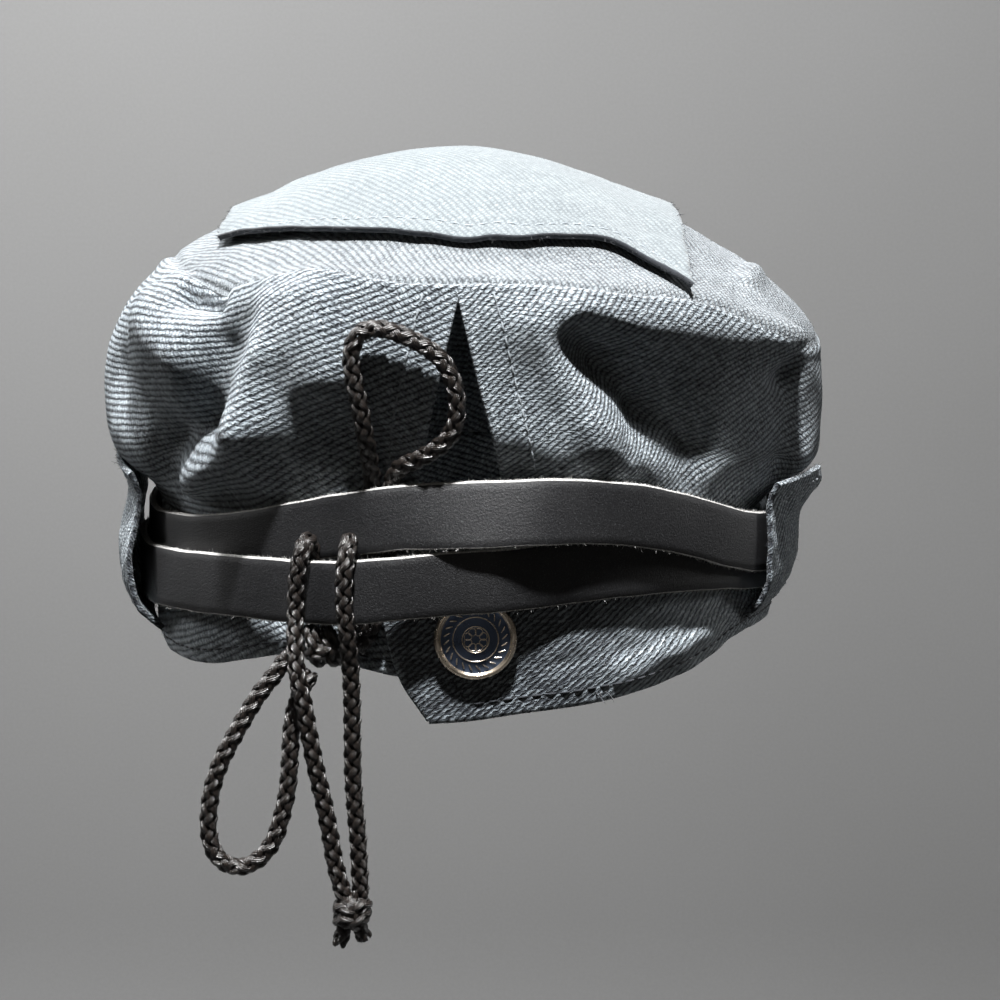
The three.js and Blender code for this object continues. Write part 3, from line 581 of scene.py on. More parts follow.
CORD_ROUTES = {
    "cord_loop_up": [
        (-26.2, -97.6, 23.6), (-25, -97.6, 28), (-23.6, -97.7, 33), (-22.4, -97.7, 40),
        (-21.7, -97.9, 48), (-21.4, -97.7, 55), (-21.3, -97.8, 61), (-21.8, -100.8, 67),
        (-22.6, -104.4, 73), (-23.8, -106, 80.6), (-25.3, -106.8, 88), (-25.4, -107.2, 94.4),
        (-23.4, -107.6, 98.2), (-19.8, -108, 99.4), (-15.7, -108.4, 98.7), (-9, -108.8, 95.8),
        (-3.8, -109, 91.8), (-0.9, -109, 85.8), (-0.2, -108.6, 79.7), (-1.4, -108, 74.4),
        (-4.6, -107, 70.6), (-9.4, -105.2, 67.4), (-14.2, -102, 64.6), (-16.3, -99.3, 60.6),
        (-16.6, -99.1, 55), (-16.8, -99.2, 48), (-17.4, -99.1, 40), (-18.8, -98.7, 33),
        (-20.4, -98.5, 27), (-22.6, -98.6, 22), (-25.4, -99, 18.6),
    ],
    "cord_loop_down": [
        (-40.2, -99.2, 18), (-42.6, -100, 16.4), (-45.6, -100.6, 12.6), (-49.2, -101, 8.1),
        (-52.2, -101.5, 3.4), (-55.5, -102, -2.3), (-58.8, -102, -8.7), (-61.1, -102, -15.1),
        (-62.2, -102, -21.5), (-62.3, -102, -28), (-60.6, -102, -33.2), (-57.3, -102, -35.8),
        (-53.3, -102, -36), (-49.5, -102, -33.7), (-46.2, -102, -29.2), (-43.9, -102, -22.1),
        (-42.5, -102, -15.1), (-41.9, -102, -7.4), (-41.4, -101.5, -0.4), (-40.4, -100.6, 5),
        (-38.8, -100.2, 8.8), (-36.4, -99.6, 13.4),
    ],
    "cord_end_left": [
        (-35.8, -95.6, 26), (-36, -95.5, 31), (-36.2, -95.4, 36), (-36.3, -95.5, 40.5),
        (-36.6, -96.8, 44.6), (-37.2, -99.2, 46), (-38.2, -102, 44.4), (-39.2, -102.6, 40),
        (-39.8, -102.4, 35), (-40, -102.2, 29), (-40.2, -103.8, 21), (-39.6, -105.2, 13.4),
        (-38, -105.4, 5.5), (-36.8, -105.2, -2.1), (-35.2, -104.8, -11), (-33.4, -104.6, -19.5),
        (-32, -104.3, -27.7), (-30.8, -104.2, -35.3), (-29.2, -104.2, -41.6),
    ],
    "cord_end_right": [
        (-30.8, -98.4, 26.2), (-29.4, -99.6, 31), (-28.4, -101, 36), (-27.4, -101.3, 40.6),
        (-26.8, -102.8, 45.4), (-26.6, -105.6, 47.2), (-27, -108.4, 45), (-27.6, -109.6, 40.4),
        (-27.8, -109.6, 35), (-27.6, -109.5, 29), (-27, -108.8, 23.5), (-26.5, -107.2, 16),
        (-26.2, -106.4, 7.4), (-26.2, -106, -1.4), (-26.2, -105.4, -10.5), (-25.8, -105, -19.4),
        (-25.1, -104.6, -28.4), (-24.8, -104.3, -36.3), (-24.6, -104.2, -41.9),
    ],
}
# Centre of each knot, and its windings: reach in x, y and z, turns, starting angle and axis
BOW_KNOT_CENTRE = np.array([-33.6, -98.6, 19.6])
END_KNOT_CENTRE = np.array([-26.8, -104.2, -47.2])
KNOTS = {
    "bow_knot": (BOW_KNOT_CENTRE, [((3.6, 1.9, 3.6), 1.9, 0.4, 0), ((2.6, 2.2, 2.8), 1.1, 2.4, 2)]),
    "end_knot": (END_KNOT_CENTRE, [((2.9, 2.4, 2.7), 1.9, 1.0, 2), ((2.2, 2.3, 2.9), 1.0, 0.0, 0)]),
}
# The tips below the end knot, as offsets from its centre
TIPS = (((-1.6, 0.4, -2.5), (-2.4, 0.2, -5.5), (-3.4, 0.4, -9.0)),
        ((1.6, 0.4, -2.5), (2.4, 0.2, -5.5), (3.4, 0.4, -7.4)))
TIP_DIAMETER = 0.92 * CORD_DIAMETER
WINDING_POINTS = 14


def winding(centre, reach, turns, start, axis):
    """A winding about an axis, as wide and high as its reach."""
    count = int(WINDING_POINTS * turns)
    angle = start + np.linspace(0, TURN * turns, count)
    first, second = (k for k in range(3) if k != axis)
    path = np.zeros((count, 3))
    path[:, axis] = np.linspace(-1, 1, count) * reach[axis]
    path[:, first] = np.cos(angle) * reach[first]
    path[:, second] = np.sin(angle) * reach[second]
    return path + centre


def end_knot_stretches():
    """The tips below the end knot and the two ends that come into it from above, with their diameters."""
    stretches = [(END_KNOT_CENTRE + tip, TIP_DIAMETER) for tip in TIPS]
    for name in ("cord_end_left", "cord_end_right"):
        tail = np.array(CORD_ROUTES[name][-1])
        above, middle = tail + (0, 0, 1.6), (tail + END_KNOT_CENTRE) / 2 + (0, 0, -0.6)
        stretches.append(([above, tail, middle, END_KNOT_CENTRE], CORD_DIAMETER))
    return stretches


def make_cords():
    for name, (centre, windings) in KNOTS.items():
        piece = Piece(f"{name}_braid", "cord")
        for settings in windings:
            braid(piece, winding(centre, *settings))
        for points, diameter in end_knot_stretches() if name == "end_knot" else ():
            braid(piece, points, diameter)
        piece.finish("cord", name)
    for name, route in CORD_ROUTES.items():
        piece = Piece(f"{name}_braid", "cord")
        path = braid(piece, route)
        piece.finish("cord", name)


# Crown

CROWN_RINGS = table("left right back front z_left z_right z_back z_front", [
    (83.8, 83.8, 98.4, 100.8, 43, 43, 46, 43), (87.4, 87.6, 98.6, 102, 48, 46.2, 57, 49),
    (95.8, 97, 100.6, 104, 55, 52.4, 67, 58), (98.8, 98.6, 103.4, 108, 66, 64, 79, 71),
    (98.5, 98.4, 104.6, 109, 80, 78, 92, 86), (94.5, 96.5, 104.4, 107, 91, 88, 103, 99),
    (88, 90, 101.4, 102, 100, 95.5, 109.5, 107), (77.5, 79, 92, 92, 108.7, 104.4, 113, 113),
    (62, 61, 79, 78, 117, 115.2, 118.6, 119), (42, 42, 54, 52, 126.6, 124, 127.6, 128),
    (21, 21, 27, 26, 132.4, 131, 133, 133), (0, 0, 0, 0, 134.6, 134.6, 134.6, 134.6),
])
CREASE = 6
TOP = 11
SLIT_APEX = 109.5
SLIT_SLOPE = 0.232
SLIT_SEAM_SHARE = 0.0215
SLIT_SEAM_LEVELS = (1.3, 5.7)
BACK_DENSITY = 0.36
CROWN_COLUMNS = 356
CROWN_SHARES = np.linspace(0, 1, CROWN_COLUMNS + 1)
LOW_ROWS = 54
HIGH_ROWS = 62
CLOTH_RADIUS = 98.0
LEVEL_STEP = 0.02
DEGREE_STEP = 0.5
POLE_MARGIN = 0.05

# Folds over the crown: a line in degrees round the cap and ring level, half width, and lift
CROWN_FOLDS = table("from_deg from_level to_deg to_level spread lift", [
    (-142, 5.85, -134, 5.75, 4.5, -6), (-124, 4.9, -123, 4.5, 6, -3), (-120, 4.2, -121.5, 3, 6, 5),
    (-122.5, 2.7, -140, 1.5, 6, 5.4), (-128, 4.3, -131, 2.9, 7.5, -5.6), (-134, 2.7, -146, 1.9, 8, -5.4),
    (-152, 5.5, -137.5, 4.3, 8, 4.4), (-162, 3.8, -144, 2.7, 11, -5.4), (-114, 5.2, -110, 3.8, 12, 4.2),
    (-119, 2.8, -122, 1.8, 8, 3.2), (-107, 2.7, -103, 1.8, 8, -4), (-103, 1.9, -101, 1.3, 9, -2),
    (-79, 4.8, -71, 2.5, 6.5, 3.2), (-70.5, 2.9, -64, 2, 6, 2.8), (-81, 2.5, -70, 1.6, 9, 3.6),
    (-72, 4.45, -61.5, 3.1, 5.5, -8), (-58, 2.8, -51, 2.2, 8, -5), (-73, 4.95, -28, 4.7, 5, 5.6),
    (-67, 4, -24, 3.95, 6, -6), (-56, 3.2, -24, 2.9, 12, -6.2), (-50, 2.1, -25, 1.8, 7, -3.4),
    (-24, 6.75, -8, 6.95, 3.5, 2.2), (138, 5.4, 146, 3, 14, -3), (42, 5.4, 34, 3, 14, -3),
])

# The seam that joins the crown's side to its top, as a ring level round the cap
SEAM_LINE = table("deg level", [
    (-161.5, 6.76), (-140.5, 6.32), (-133.5, 6.12), (-127, 6.28), (-112.5, 6.4), (-105, 6.2), (-98, 6),
    (-82, 5.98), (-63.5, 5.78), (-53.5, 5.86), (-48.5, 5.74), (-43.5, 5.4), (-38, 4.98), (-30.5, 4.66),
    (-15, 4.6), (10, 5), (40, 5.7), (90, 6), (140, 6.2), (175, 6.7),
])
# Across the seam: lift, levels above it, and half width. It is flatter round one place, SEAM_FLAT_DEG
SEAM_PROFILE = ((0.75, -0.16, 0.13), (-0.85, 0.1, 0.09))
SEAM_FLAT_SHARE = 0.75
SEAM_FLAT_DEG = -30
SEAM_FLAT_WIDTH = 28
# Height, wavelength and seed of the small unevenness
CROWN_RIPPLES = ((0.45, 34, 3), (0.22, 13, 5))


def turned_back(deg):
    return (np.asarray(deg, float) + 180) % 360 - 180


def seam_level(deg):
    return smooth_around(SEAM_LINE, "level", turned_back(deg))


def ring_point(deg, k):
    """A point of ring k; past the middle of the top the rings repeat on the far side."""
    ring = np.where(k > TOP, 2 * TOP - k, k)
    flip = np.where(k > TOP, -1.0, 1.0)
    c, s = np.cos(np.radians(deg)), np.sin(np.radians(deg))
    side, z_side = (np.where(c < 0, CROWN_RINGS[low][ring], CROWN_RINGS[high][ring])
                    for low, high in (("left", "right"), ("z_left", "z_right")))
    end, z_end = (np.where(s < 0, CROWN_RINGS[low][ring], CROWN_RINGS[high][ring])
                  for low, high in (("back", "front"), ("z_back", "z_front")))
    return np.stack([flip * side * c, flip * end * s, z_side * c * c + z_end * s * s], axis=-1)


def crown_base(deg, level):
    """The smooth crown before folds."""
    deg, level = np.broadcast_arrays(np.asarray(deg, float), np.asarray(level, float))
    k = np.clip(np.floor(level).astype(int), 0, TOP - 1)
    low, high, after = (ring_point(deg, k + n) for n in (0, 1, 2))
    before = ring_point(deg, np.maximum(k - 1, 0))
    slope_low = np.where((k == 0)[..., None], high - low, (high - before) / 2)
    return hermite(low, high, slope_low, (after - low) / 2, (level - k)[..., None])


def normal_of(surface, deg, level):
    deg, level = np.broadcast_arrays(np.asarray(deg, float), np.asarray(level, float))
    high = np.minimum(level + LEVEL_STEP, TOP - POLE_MARGIN)
    low = np.minimum(np.maximum(level - LEVEL_STEP, 0), high - LEVEL_STEP)
    across = surface(deg + DEGREE_STEP, level) - surface(deg - DEGREE_STEP, level)
    return unit(np.cross(across, surface(deg, high) - surface(deg, low)))


FOLD_STARTS = crown_base(CROWN_FOLDS["from_deg"], CROWN_FOLDS["from_level"])
FOLD_RUNS = crown_base(CROWN_FOLDS["to_deg"], CROWN_FOLDS["to_level"]) - FOLD_STARTS


def fold_lift(points):
    total = np.zeros(points.shape[:-1])
    for start, run, spread, lift in zip(FOLD_STARTS, FOLD_RUNS, CROWN_FOLDS["spread"], CROWN_FOLDS["lift"]):
        share = np.clip((points - start) @ run / (run @ run), 0, 1)
        distance = np.linalg.norm(points - start - share[..., None] * run, axis=-1)
        total = total + lift * bump_at(distance, spread)
    return total


def crown_surface(deg, level):
    """The crown's outer face with its folds, seam and small unevenness, which fade at foot and top."""
    base = crown_base(deg, level)
    level = np.broadcast_to(np.asarray(level, float), base.shape[:-1])
    above = level - seam_level(deg)
    seam = sum(mound(above, *profile) for profile in SEAM_PROFILE)
    seam = seam * (1 - SEAM_FLAT_SHARE * bump_at(turned_back(deg) - SEAM_FLAT_DEG, SEAM_FLAT_WIDTH))
    fine = (seam + ripples(base, CROWN_RIPPLES)) * rising(level, 1.5) * rising(TOP - 0.3 - level, 2)
    lift = fold_lift(base) * rising(level, 1.2) + fine
    return base + normal_of(crown_base, deg, level) * lift[..., None]


def crown_degrees(level, share):
    """Columns are closer together at the back, and stand clear of the slit below its apex."""
    even = share - (BACK_DENSITY / TURN) * np.sin(TURN * share)
    middle = crown_base(-90.0, level)[..., 2]
    half_gap = np.where(level < CREASE, np.maximum(SLIT_SLOPE * (SLIT_APEX - middle), 0), 0)
    gap = np.degrees(np.arcsin(half_gap / crown_base(0.0, level)[..., 0]))
    return -90 + gap + (360 - 2 * gap) * even


# Slope of the twill's ribs across the cloth: round the cap from the back, in millimetres
TWILL_RIGHT = table("s slope", [(0, 0.98), (30, 0.92), (55, 0.72), (90, 0.45), (150, 0.35), (320, 0.35)])
TWILL_LEFT = table("s slope", [
    (-320, 0.15), (-110, 0.02), (-80, 0.04), (-65, 0.18), (-55, 0.46), (-40, 0.42), (-25, 0.4), (0, 0.5),
])
TWILL_BAND = table("s slope", [
    (-800, 0.85), (-745, 0.8), (-700, 0.7), (-640, 0.5), (-460, 0.3), (-300, 0.15), (-210, 0.2),
    (-140, 0.35),
])
TWILL_STATIONS = 400
TOP_RIBS = -64.0


def twill_uv(s, t, slopes):
    """Across and along coordinates of ribs whose slope changes along s."""
    stations = np.linspace(slopes["s"][0], slopes["s"][-1], TWILL_STATIONS)
    slope = np.interp(stations, slopes["s"], slopes["slope"])
    rise = np.concatenate([[0], np.cumsum((slope[1:] + slope[:-1]) / 2 * np.diff(stations))])
    scale = 1 / math.hypot(1, float(np.median(slope)))
    here = np.interp(s, slopes["s"], slopes["slope"])
    long = np.sqrt(1 + here ** 2)
    return np.stack([(t - np.interp(s, stations, rise)) * scale, (s + t * here) / long], axis=-1)


def turned_uv(s, t, degrees):
    """Across and along coordinates of straight ribs that rise at an angle from s."""
    c, k = math.cos(math.radians(degrees)), math.sin(math.radians(degrees))
    return np.stack([t * c - s * k, s * c + t * k], axis=-1)


def crown_part(rows, low, high):
    """A stretch of the crown between two levels: degrees, both faces, and the climb from row to row."""
    levels = low + np.linspace(0, 1, rows + 1)[:, None] * (high - low)
    deg = crown_degrees(levels, CROWN_SHARES)
    outer = crown_surface(deg, levels)
    inner = outer - normal_of(crown_surface, deg, levels) * CLOTH_THICKNESS
    return deg, outer, inner, np.linalg.norm(np.diff(crown_base(deg, levels), axis=0), axis=-1)


def add_crown_side(piece, seam):
    """From the foot to the seam, in a right and a left half with the slit between them at the back."""
    deg, outer, inner, climb = crown_part(LOW_ROWS, 0, seam)
    height = np.vstack([np.zeros(CROWN_COLUMNS + 1), np.cumsum(climb, axis=0)])
    count = np.arange(CROWN_COLUMNS + 1)
    rubbed = np.broadcast_to(0.35 * bump_at(np.minimum(count, CROWN_COLUMNS - count), 1.6), deg.shape)
    slit_bulge = np.append(np.full(LOW_ROWS, 0.9), 0)[:, None]
    middle = CROWN_COLUMNS // 2
    for half, start, slopes, slit in ((np.s_[:, :middle + 1], -90, TWILL_RIGHT, "first column"),
                                      (np.s_[:, middle:], 270, TWILL_LEFT, "last column")):
        uv = twill_uv(np.radians(deg[half] - start) * CLOTH_RADIUS, height[half], slopes)
        piece.grid(outer[half], uv, wear=rubbed[half])
        piece.grid(inner[half], uv, wear=0.1, flip=True)
        piece.rim("first row", outer[half], inner[half], uv, 0.45, -UP)
        piece.rim(slit, outer[half], inner[half], uv, slit_bulge, wear=0.35)


def add_crown_top(piece, seam):
    """From the seam to the middle of the top."""
    deg, outer, inner, climb = crown_part(HIGH_ROWS, seam, TOP - POLE_MARGIN)
    reach = np.vstack([np.cumsum(climb[::-1], axis=0)[::-1], np.zeros(CROWN_COLUMNS + 1)])
    angle = np.radians(deg)
    uv = turned_uv(reach * np.cos(angle), reach * np.sin(angle), TOP_RIBS)
    # The outer top takes the darker copy of the denim: painted shade under the strong key
    for face, wear, material, flip in ((outer, 0.25, 2, False), (inner, 0.1, 0, True)):
        piece.grid(face, uv, wear=wear, material=material, flip=flip)
        pole = np.broadcast_to(face[-1].mean(axis=0), face[-1].shape)
        piece.grid(np.stack([face[-1], pole]), uv[-2:], material=2, flip=flip)


def make_crown():
    piece = Piece("crown_cloth", "denim", "thread_light", "denim_upper_painted_shade")
    seam = seam_level(crown_degrees(CREASE, CROWN_SHARES))
    add_crown_side(piece, seam)
    add_crown_top(piece, seam)
    levels = np.linspace(*SLIT_SEAM_LEVELS, 60)
    for share in (SLIT_SEAM_SHARE, 1 - SLIT_SEAM_SHARE):
        deg = crown_degrees(levels, share)
        stitches(piece, crown_surface(deg, levels), normal_of(crown_surface, deg, levels), 1)
    piece.finish("denim", "crown")


# Top panel

PANEL_BACK = table("x y", [
    (-62, -42), (-48, -56.5), (-27, -72.8), (-7, -81), (2.2, -83.6), (8, -82), (17, -80.6), (33.6, -71.6),
    (43, -71.4), (56.4, -78),
])
PANEL_FRONT = table("x y", [(-58, 62), (-30, 78), (0, 84), (30, 78), (56, 62)])
PANEL_GAP = 0.8
PANEL_LIFT = 1.2
PANEL_REACH = 0.08
PANEL_COLUMNS = 150
PANEL_ROWS = 150
PANEL_WIDTH = 120.0
PANEL_LENGTH = 160.0
PANEL_SEAM = 6.5
# How far the seam pulls the panel down, and how far its edges curl, with the curl's wavelength and seed
SEAM_PULL = 0.35
SEAM_PULL_WIDTH = 1.6
PANEL_CURL = 0.5
PANEL_CURL_WAVES = (22, 9)
# The panel's loose threads are near black: dark yarn ends partly, painted shade partly
PANEL_FRAY = {"spacing": 0.3, "scatter": 0.32, "inset": 0.4, "spread": 0.45, "lengths": (0.3, 1.1),
              "radius": 0.11, "material": 1}
BISECTIONS = 34


def crown_place(x, y):
    """Degrees and level of the crown's face over places on the top."""
    low = np.full(x.shape, CREASE - 1.5)
    high = np.full(x.shape, float(TOP))
    for _ in range(BISECTIONS):
        level = (low + high) / 2
        sideways = np.abs(crown_base(np.where(x < 0, 180.0, 0.0), level)[..., 0])
        lengthways = np.abs(crown_base(np.where(y < 0, -90.0, 90.0), level)[..., 1])
        inside = np.hypot(x / sideways, y / lengthways) < 1
        low = np.where(inside, level, low)
        high = np.where(inside, high, level)
    return np.degrees(np.arctan2(y / lengthways, x / sideways)), (low + high) / 2


def panel_point(across, along):
    """The panel's under face at shares across it and from back to front, its normal and its plan place."""
    x = PANEL_BACK["x"][0] + across * (PANEL_BACK["x"][-1] - PANEL_BACK["x"][0])
    back = smooth_table(PANEL_BACK, "x", "y", x)
    y = back + along * (smooth_table(PANEL_FRONT, "x", "y", x) - back)
    deg, level = crown_place(x, y)
    normal = normal_of(crown_surface, deg, np.minimum(level, TOP - 0.2))
    end, side = (np.maximum(0, 1 - np.minimum(share, 1 - share) / PANEL_REACH) for share in (along, across))
    pull = SEAM_PULL * bump_at(along * PANEL_LENGTH - PANEL_SEAM, SEAM_PULL_WIDTH)
    curl = PANEL_CURL * end ** 2 * ripple(np.stack([x, y * 0.2, x * 0], axis=-1), *PANEL_CURL_WAVES)
    lift = PANEL_GAP + PANEL_LIFT * np.maximum(end, side) + curl - pull
    return crown_surface(deg, level) + normal * lift[..., None], normal, np.stack([x, y], axis=-1)


def make_top_panel():
    across, along = np.meshgrid(np.linspace(0, 1, PANEL_COLUMNS + 1), np.linspace(0, 1, PANEL_ROWS + 1))
    under, normal, place = panel_point(across, along)
    over = under + normal * PANEL_THICKNESS
    uv = turned_uv(place[..., 0], place[..., 1] * 1.06, TOP_RIBS)
    # The panel takes the darker, flatter copy of the denim: painted shade under the strong key
    piece = Piece("top_panel_cloth", "denim_top", "thread_dark_and_painted_shade", "thread_light")
    near = np.minimum(np.minimum(along, 1 - along) * PANEL_LENGTH,
                      np.minimum(across, 1 - across) * PANEL_WIDTH)
    # Darker at the very edges of the top face: dark raw yarn ends partly, painted shade under the curled
    # edge partly
    piece.grid(over, uv, wear=0.1 - 0.9 * bump_at(near, 0.9))
    piece.grid(under, uv, wear=-0.2, flip=True)
    for side in SIDES:
        # The rim takes the near-black thread colour: dark yarn ends partly, painted shade partly
        middle, toward = piece.rim(side, over, under, uv, 0.25, material=1)
        fray(piece, middle, toward, **PANEL_FRAY)
    line = np.linspace(0.02, 0.98, 200)
    sewn, facing, _ = panel_point(line, np.full(line.shape, PANEL_SEAM / PANEL_LENGTH))
    stitches(piece, sewn + facing * PANEL_THICKNESS, facing, 2)
    item = piece.finish("denim_top", "top_panel")


# Band

BAND_ROWS = table("along bottom top out", [
    (80, 13, 45.3, -2.4), (90, 12, 45.5, -2.4), (100, 11.8, 45.4, -2.3), (110, 14, 45.1, -2),
    (121, 15, 44.7, -0.9), (130, 12, 44.2, -0.2), (140, 8, 43.7, 0), (151, 5.5, 43.2, 0),
    (180, 3.5, 42.5, 0), (225, 3, 42.5, 0), (270, 3, 42.5, 0), (315, 3, 42.5, 0), (350, 6, 42.6, 0),
    (375, 10.5, 42.7, 0), (392, 12.5, 43.3, 0), (404, 8.6, 43.9, 0.2), (416, 6, 44.5, 1),
    (428, 4.4, 45, 1.6), (440, 3.4, 45.4, 1.6), (449, 1.8, 45.5, 1.6), (466, 0, 45.5, 1.4),
])
TAB_END = table("z along", [
    (0, 455), (10, 459.3), (18, 461.2), (27, 462.2), (33, 460.6), (38, 456), (45, 449),
])
# Painted shadow of the straps over the tab: how much darker, from where and over what reach; and painted
# light on two lit stretches of the band
TAB_PAINTED_SHADE = 1.0
TAB_PAINTED_SHADE_FROM = 417
TAB_PAINTED_SHADE_REACH = 12
# Painted light: two lit stretches of the band near its ends, where the lamp reaches the hem past the straps
PAINTED_LIGHT_STRETCHES = ((1, 151, 11), (1, 401, 8))
# Swells over the band's rise: the puffed cloth, the same at the tab's side, and the groove above them
BAND_PUFF = (1.5, 6, 5.5)
BAND_PUFF_FROM = 122
BAND_PUFF_TO = 432
TAB_PUFF = (1.3, 7, 6)
TAB_PUFF_PLACE = (1, 410, 16)
BAND_GROOVE = (-0.5, 11, 1.4)
# Height, squeeze along z, wavelength and seed of the unevenness, which is calmer near the tab's end
BAND_RIPPLES = ((0.4, 1.6, 24, 21), (0.25, 1, 9, 22))
CALM_TO = 450
CALM_SHARE = 0.25
BAND_COLUMNS = 420
BAND_HEIGHTS = 34
HEM_SEAM_HEIGHT = 0.085
TAB_SEAM_SHARE = 0.978
# Loose threads under the hem to the right of the button: root, direction and length
HEM_THREADS = np.array([
    (34.0, -94.4, 6.4, 0.9, -0.3, -0.8, 3.6), (35.0, -94.2, 6.6, 0.5, -0.2, -1.0, 2.4),
    (36.2, -94.0, 6.7, 1.0, -0.1, -0.5, 4.2), (37.0, -93.8, 6.9, -0.4, -0.2, -1.0, 2.0),
])


def round_band(deg, out, z):
    angle, out, z = np.broadcast_arrays(np.radians(deg), out, z)
    x = (BAND_HALF_WIDTH + out) * np.cos(angle)
    return np.stack([x, (BAND_HALF_LENGTH + out) * np.sin(angle), z], axis=-1)


def band_point(share, height, depth=0.0):
    """A point of the band at shares of its run and height, a depth under its outer face."""
    end = smooth_table(TAB_END, "z", "along", height * BAND_ROWS["top"][-1])
    along = BAND_ROWS["along"][0] + share * (end - BAND_ROWS["along"][0])
    bottom, top, out = (smooth_table(BAND_ROWS, "along", name, along) for name in ("bottom", "top", "out"))
    rise = height * (top - bottom)
    z = bottom + rise
    puff = mound(rise, *BAND_PUFF) * rising(along - BAND_PUFF_FROM, 12) * rising(BAND_PUFF_TO - along, 30)
    puff = puff + mound(rise, *TAB_PUFF) * mound(along, *TAB_PUFF_PLACE)
    sample = round_band(-along, out, z)
    uneven = sum(lift * ripple(sample * [1, 1, squeeze], wavelength, seed)
                 for lift, squeeze, wavelength, seed in BAND_RIPPLES)
    calm = np.maximum(rising(CALM_TO - along, 30), CALM_SHARE) * rising(BAND_ROWS["top"][-1] - z, 8)
    lift = (puff + mound(rise, *BAND_GROOVE) + uneven) * calm
    return round_band(-along, out + lift - depth, z), along, rise


def band_normal(share, height):
    across = band_point(share + 0.0005, height)[0] - band_point(share - 0.0005, height)[0]
    up = band_point(share, height + 0.004)[0] - band_point(share, height - 0.004)[0]
    return unit(np.cross(up, across))


def make_band():
    share, height = np.meshgrid(np.linspace(1, 0, BAND_COLUMNS + 1),
                                np.linspace(0, 1, BAND_HEIGHTS + 1) ** 1.15)
    outer, along, rise = band_point(share, height)
    inner = band_point(share, height, CLOTH_THICKNESS)[0]
    around = -np.radians(along) * (BAND_HALF_WIDTH + BAND_HALF_LENGTH) / 2
    uv = twill_uv(around, rise, TWILL_BAND)
    piece = Piece("band_cloth", "denim", "thread_dark_and_painted_shade")
    # Darker over the tab: painted shadow of the straps; the rubbed foot of the hem is real wear
    wear = 0.3 * bump_at(rise, 1.2) - TAB_PAINTED_SHADE * rising(along - TAB_PAINTED_SHADE_FROM, TAB_PAINTED_SHADE_REACH)
    # Lighter stretches near the band's ends: painted light
    wear = wear + sum(mound(along, *stretch) for stretch in PAINTED_LIGHT_STRETCHES)
    piece.grid(outer, uv, wear=wear)
    piece.grid(inner, uv, wear=0.1, flip=True)
    for side, bulge, toward, rubbed in (("first row", 0.9, -UP, 0.35), ("last row", 0.3, UP, 0.0),
                                        ("first column", 0.8, None, 0.35), ("last column", 0.8, None, 0.35)):
        piece.rim(side, outer, inner, uv, bulge, toward, wear=rubbed)
    hem = np.linspace(0.02, TAB_SEAM_SHARE, 1400)
    tab = HEM_SEAM_HEIGHT + np.linspace(0, 0.85, 160)
    for share, height in ((hem, HEM_SEAM_HEIGHT), (TAB_SEAM_SHARE, tab)):
        stitches(piece, band_point(share, height)[0], band_normal(share, height), 1)
    hairs(piece, HEM_THREADS[:, :3], HEM_THREADS[:, 3:6], HEM_THREADS[:, 6],
          radius=0.22, material=1, curl=0.4, steps=7)
    piece.finish("denim", "band")


# Straps

STRAP_UPPER = table("deg z out", [
    (-180, 34, 2.2), (-160, 34.8, 2.2), (-150, 36.6, 2.2), (-140, 38.7, 2.2), (-130, 41.9, 1.6),
    (-120, 45.6, 0.6), (-113, 48.4, 0.6), (-109.5, 49.6, 2.1), (-105.5, 51, 3.8), (-99, 52.8, 4.5),
    (-95, 53.3, 5), (-90, 53.8, 6), (-84, 54.2, 7), (-78, 54.4, 7.6), (-70, 53.6, 6.4), (-60, 51, 5.6),
    (-50, 46.6, 5.6), (-40, 41.2, 5.4), (-30, 37, 5), (-18, 34.6, 4.8), (0, 33.4, 4.8), (45, 32.6, 4.6),
    (62, 32.3, 3.8), (90, 32.2, 2.8), (120, 32.5, 2.2), (140, 33.2, 2.2),
])
STRAP_LOWER = table("deg z out", [
    (-180, 25, 4.8), (-160, 25.8, 4.8), (-150, 27.6, 4.8), (-140, 29.4, 4.8), (-130, 31.2, 5.2),
    (-120, 32.4, 6.2), (-113, 33.4, 8.2), (-107, 34.3, 9.4), (-101, 35.4, 8.2), (-95, 36.3, 6.4),
    (-90, 37, 5.9), (-84, 37.5, 6.1), (-78, 37.9, 4.8), (-72, 38.2, 3.4), (-60, 38.2, 2.9),
    (-50, 37, 2.7), (-40, 35, 2.5), (-30, 32, 2.3), (-18, 29, 2.2), (0, 26, 2.2), (45, 16.8, 2.3),
    (62, 15.6, 2.5), (90, 15.4, 3), (120, 16, 4), (140, 18.4, 4.7),
])
# Each strap's run, and how much further out its lower edge stands than its upper one near the button
STRAPS = {"strap_upper": (STRAP_UPPER, 4.2), "strap_lower": (STRAP_LOWER, 0.0)}
STRAP_STATIONS = 420
STRAP_CROWNING = 0.22
STRAP_LEAN_DEG = -86.0
STRAP_LEAN_REACH = 15.0
# Unevenness of the cut edges: height, and waves round the cap
STRAP_WAVES = ((0.06, 23), (0.04, 41))
STRAP_UV_RADIUS = 92
FACE_POINTS = 9
EDGE_FIBRES = 0.28


def strap_section():
    """Outline of the strap across its run as (out, rise, on the cut edge) rows, closed."""
    half, thick = STRAP_WIDTH / 2, STRAP_THICKNESS / 2
    rises = np.linspace(-half + 0.35, half - 0.35, FACE_POINTS)
    face = [(thick + STRAP_CROWNING * (1 - (rise / half) ** 2), rise, 0) for rise in rises]
    upper = [(thick * 0.8, half - 0.06, 1), (0, half, 1), (-thick * 0.8, half - 0.06, 1)]
    back = [(-thick, rise, 0) for rise in rises[::-1]]
    lower = [(-out, -rise, 1) for out, rise, _ in upper]
    return np.array([*face, *upper, *back, *lower, face[0]])


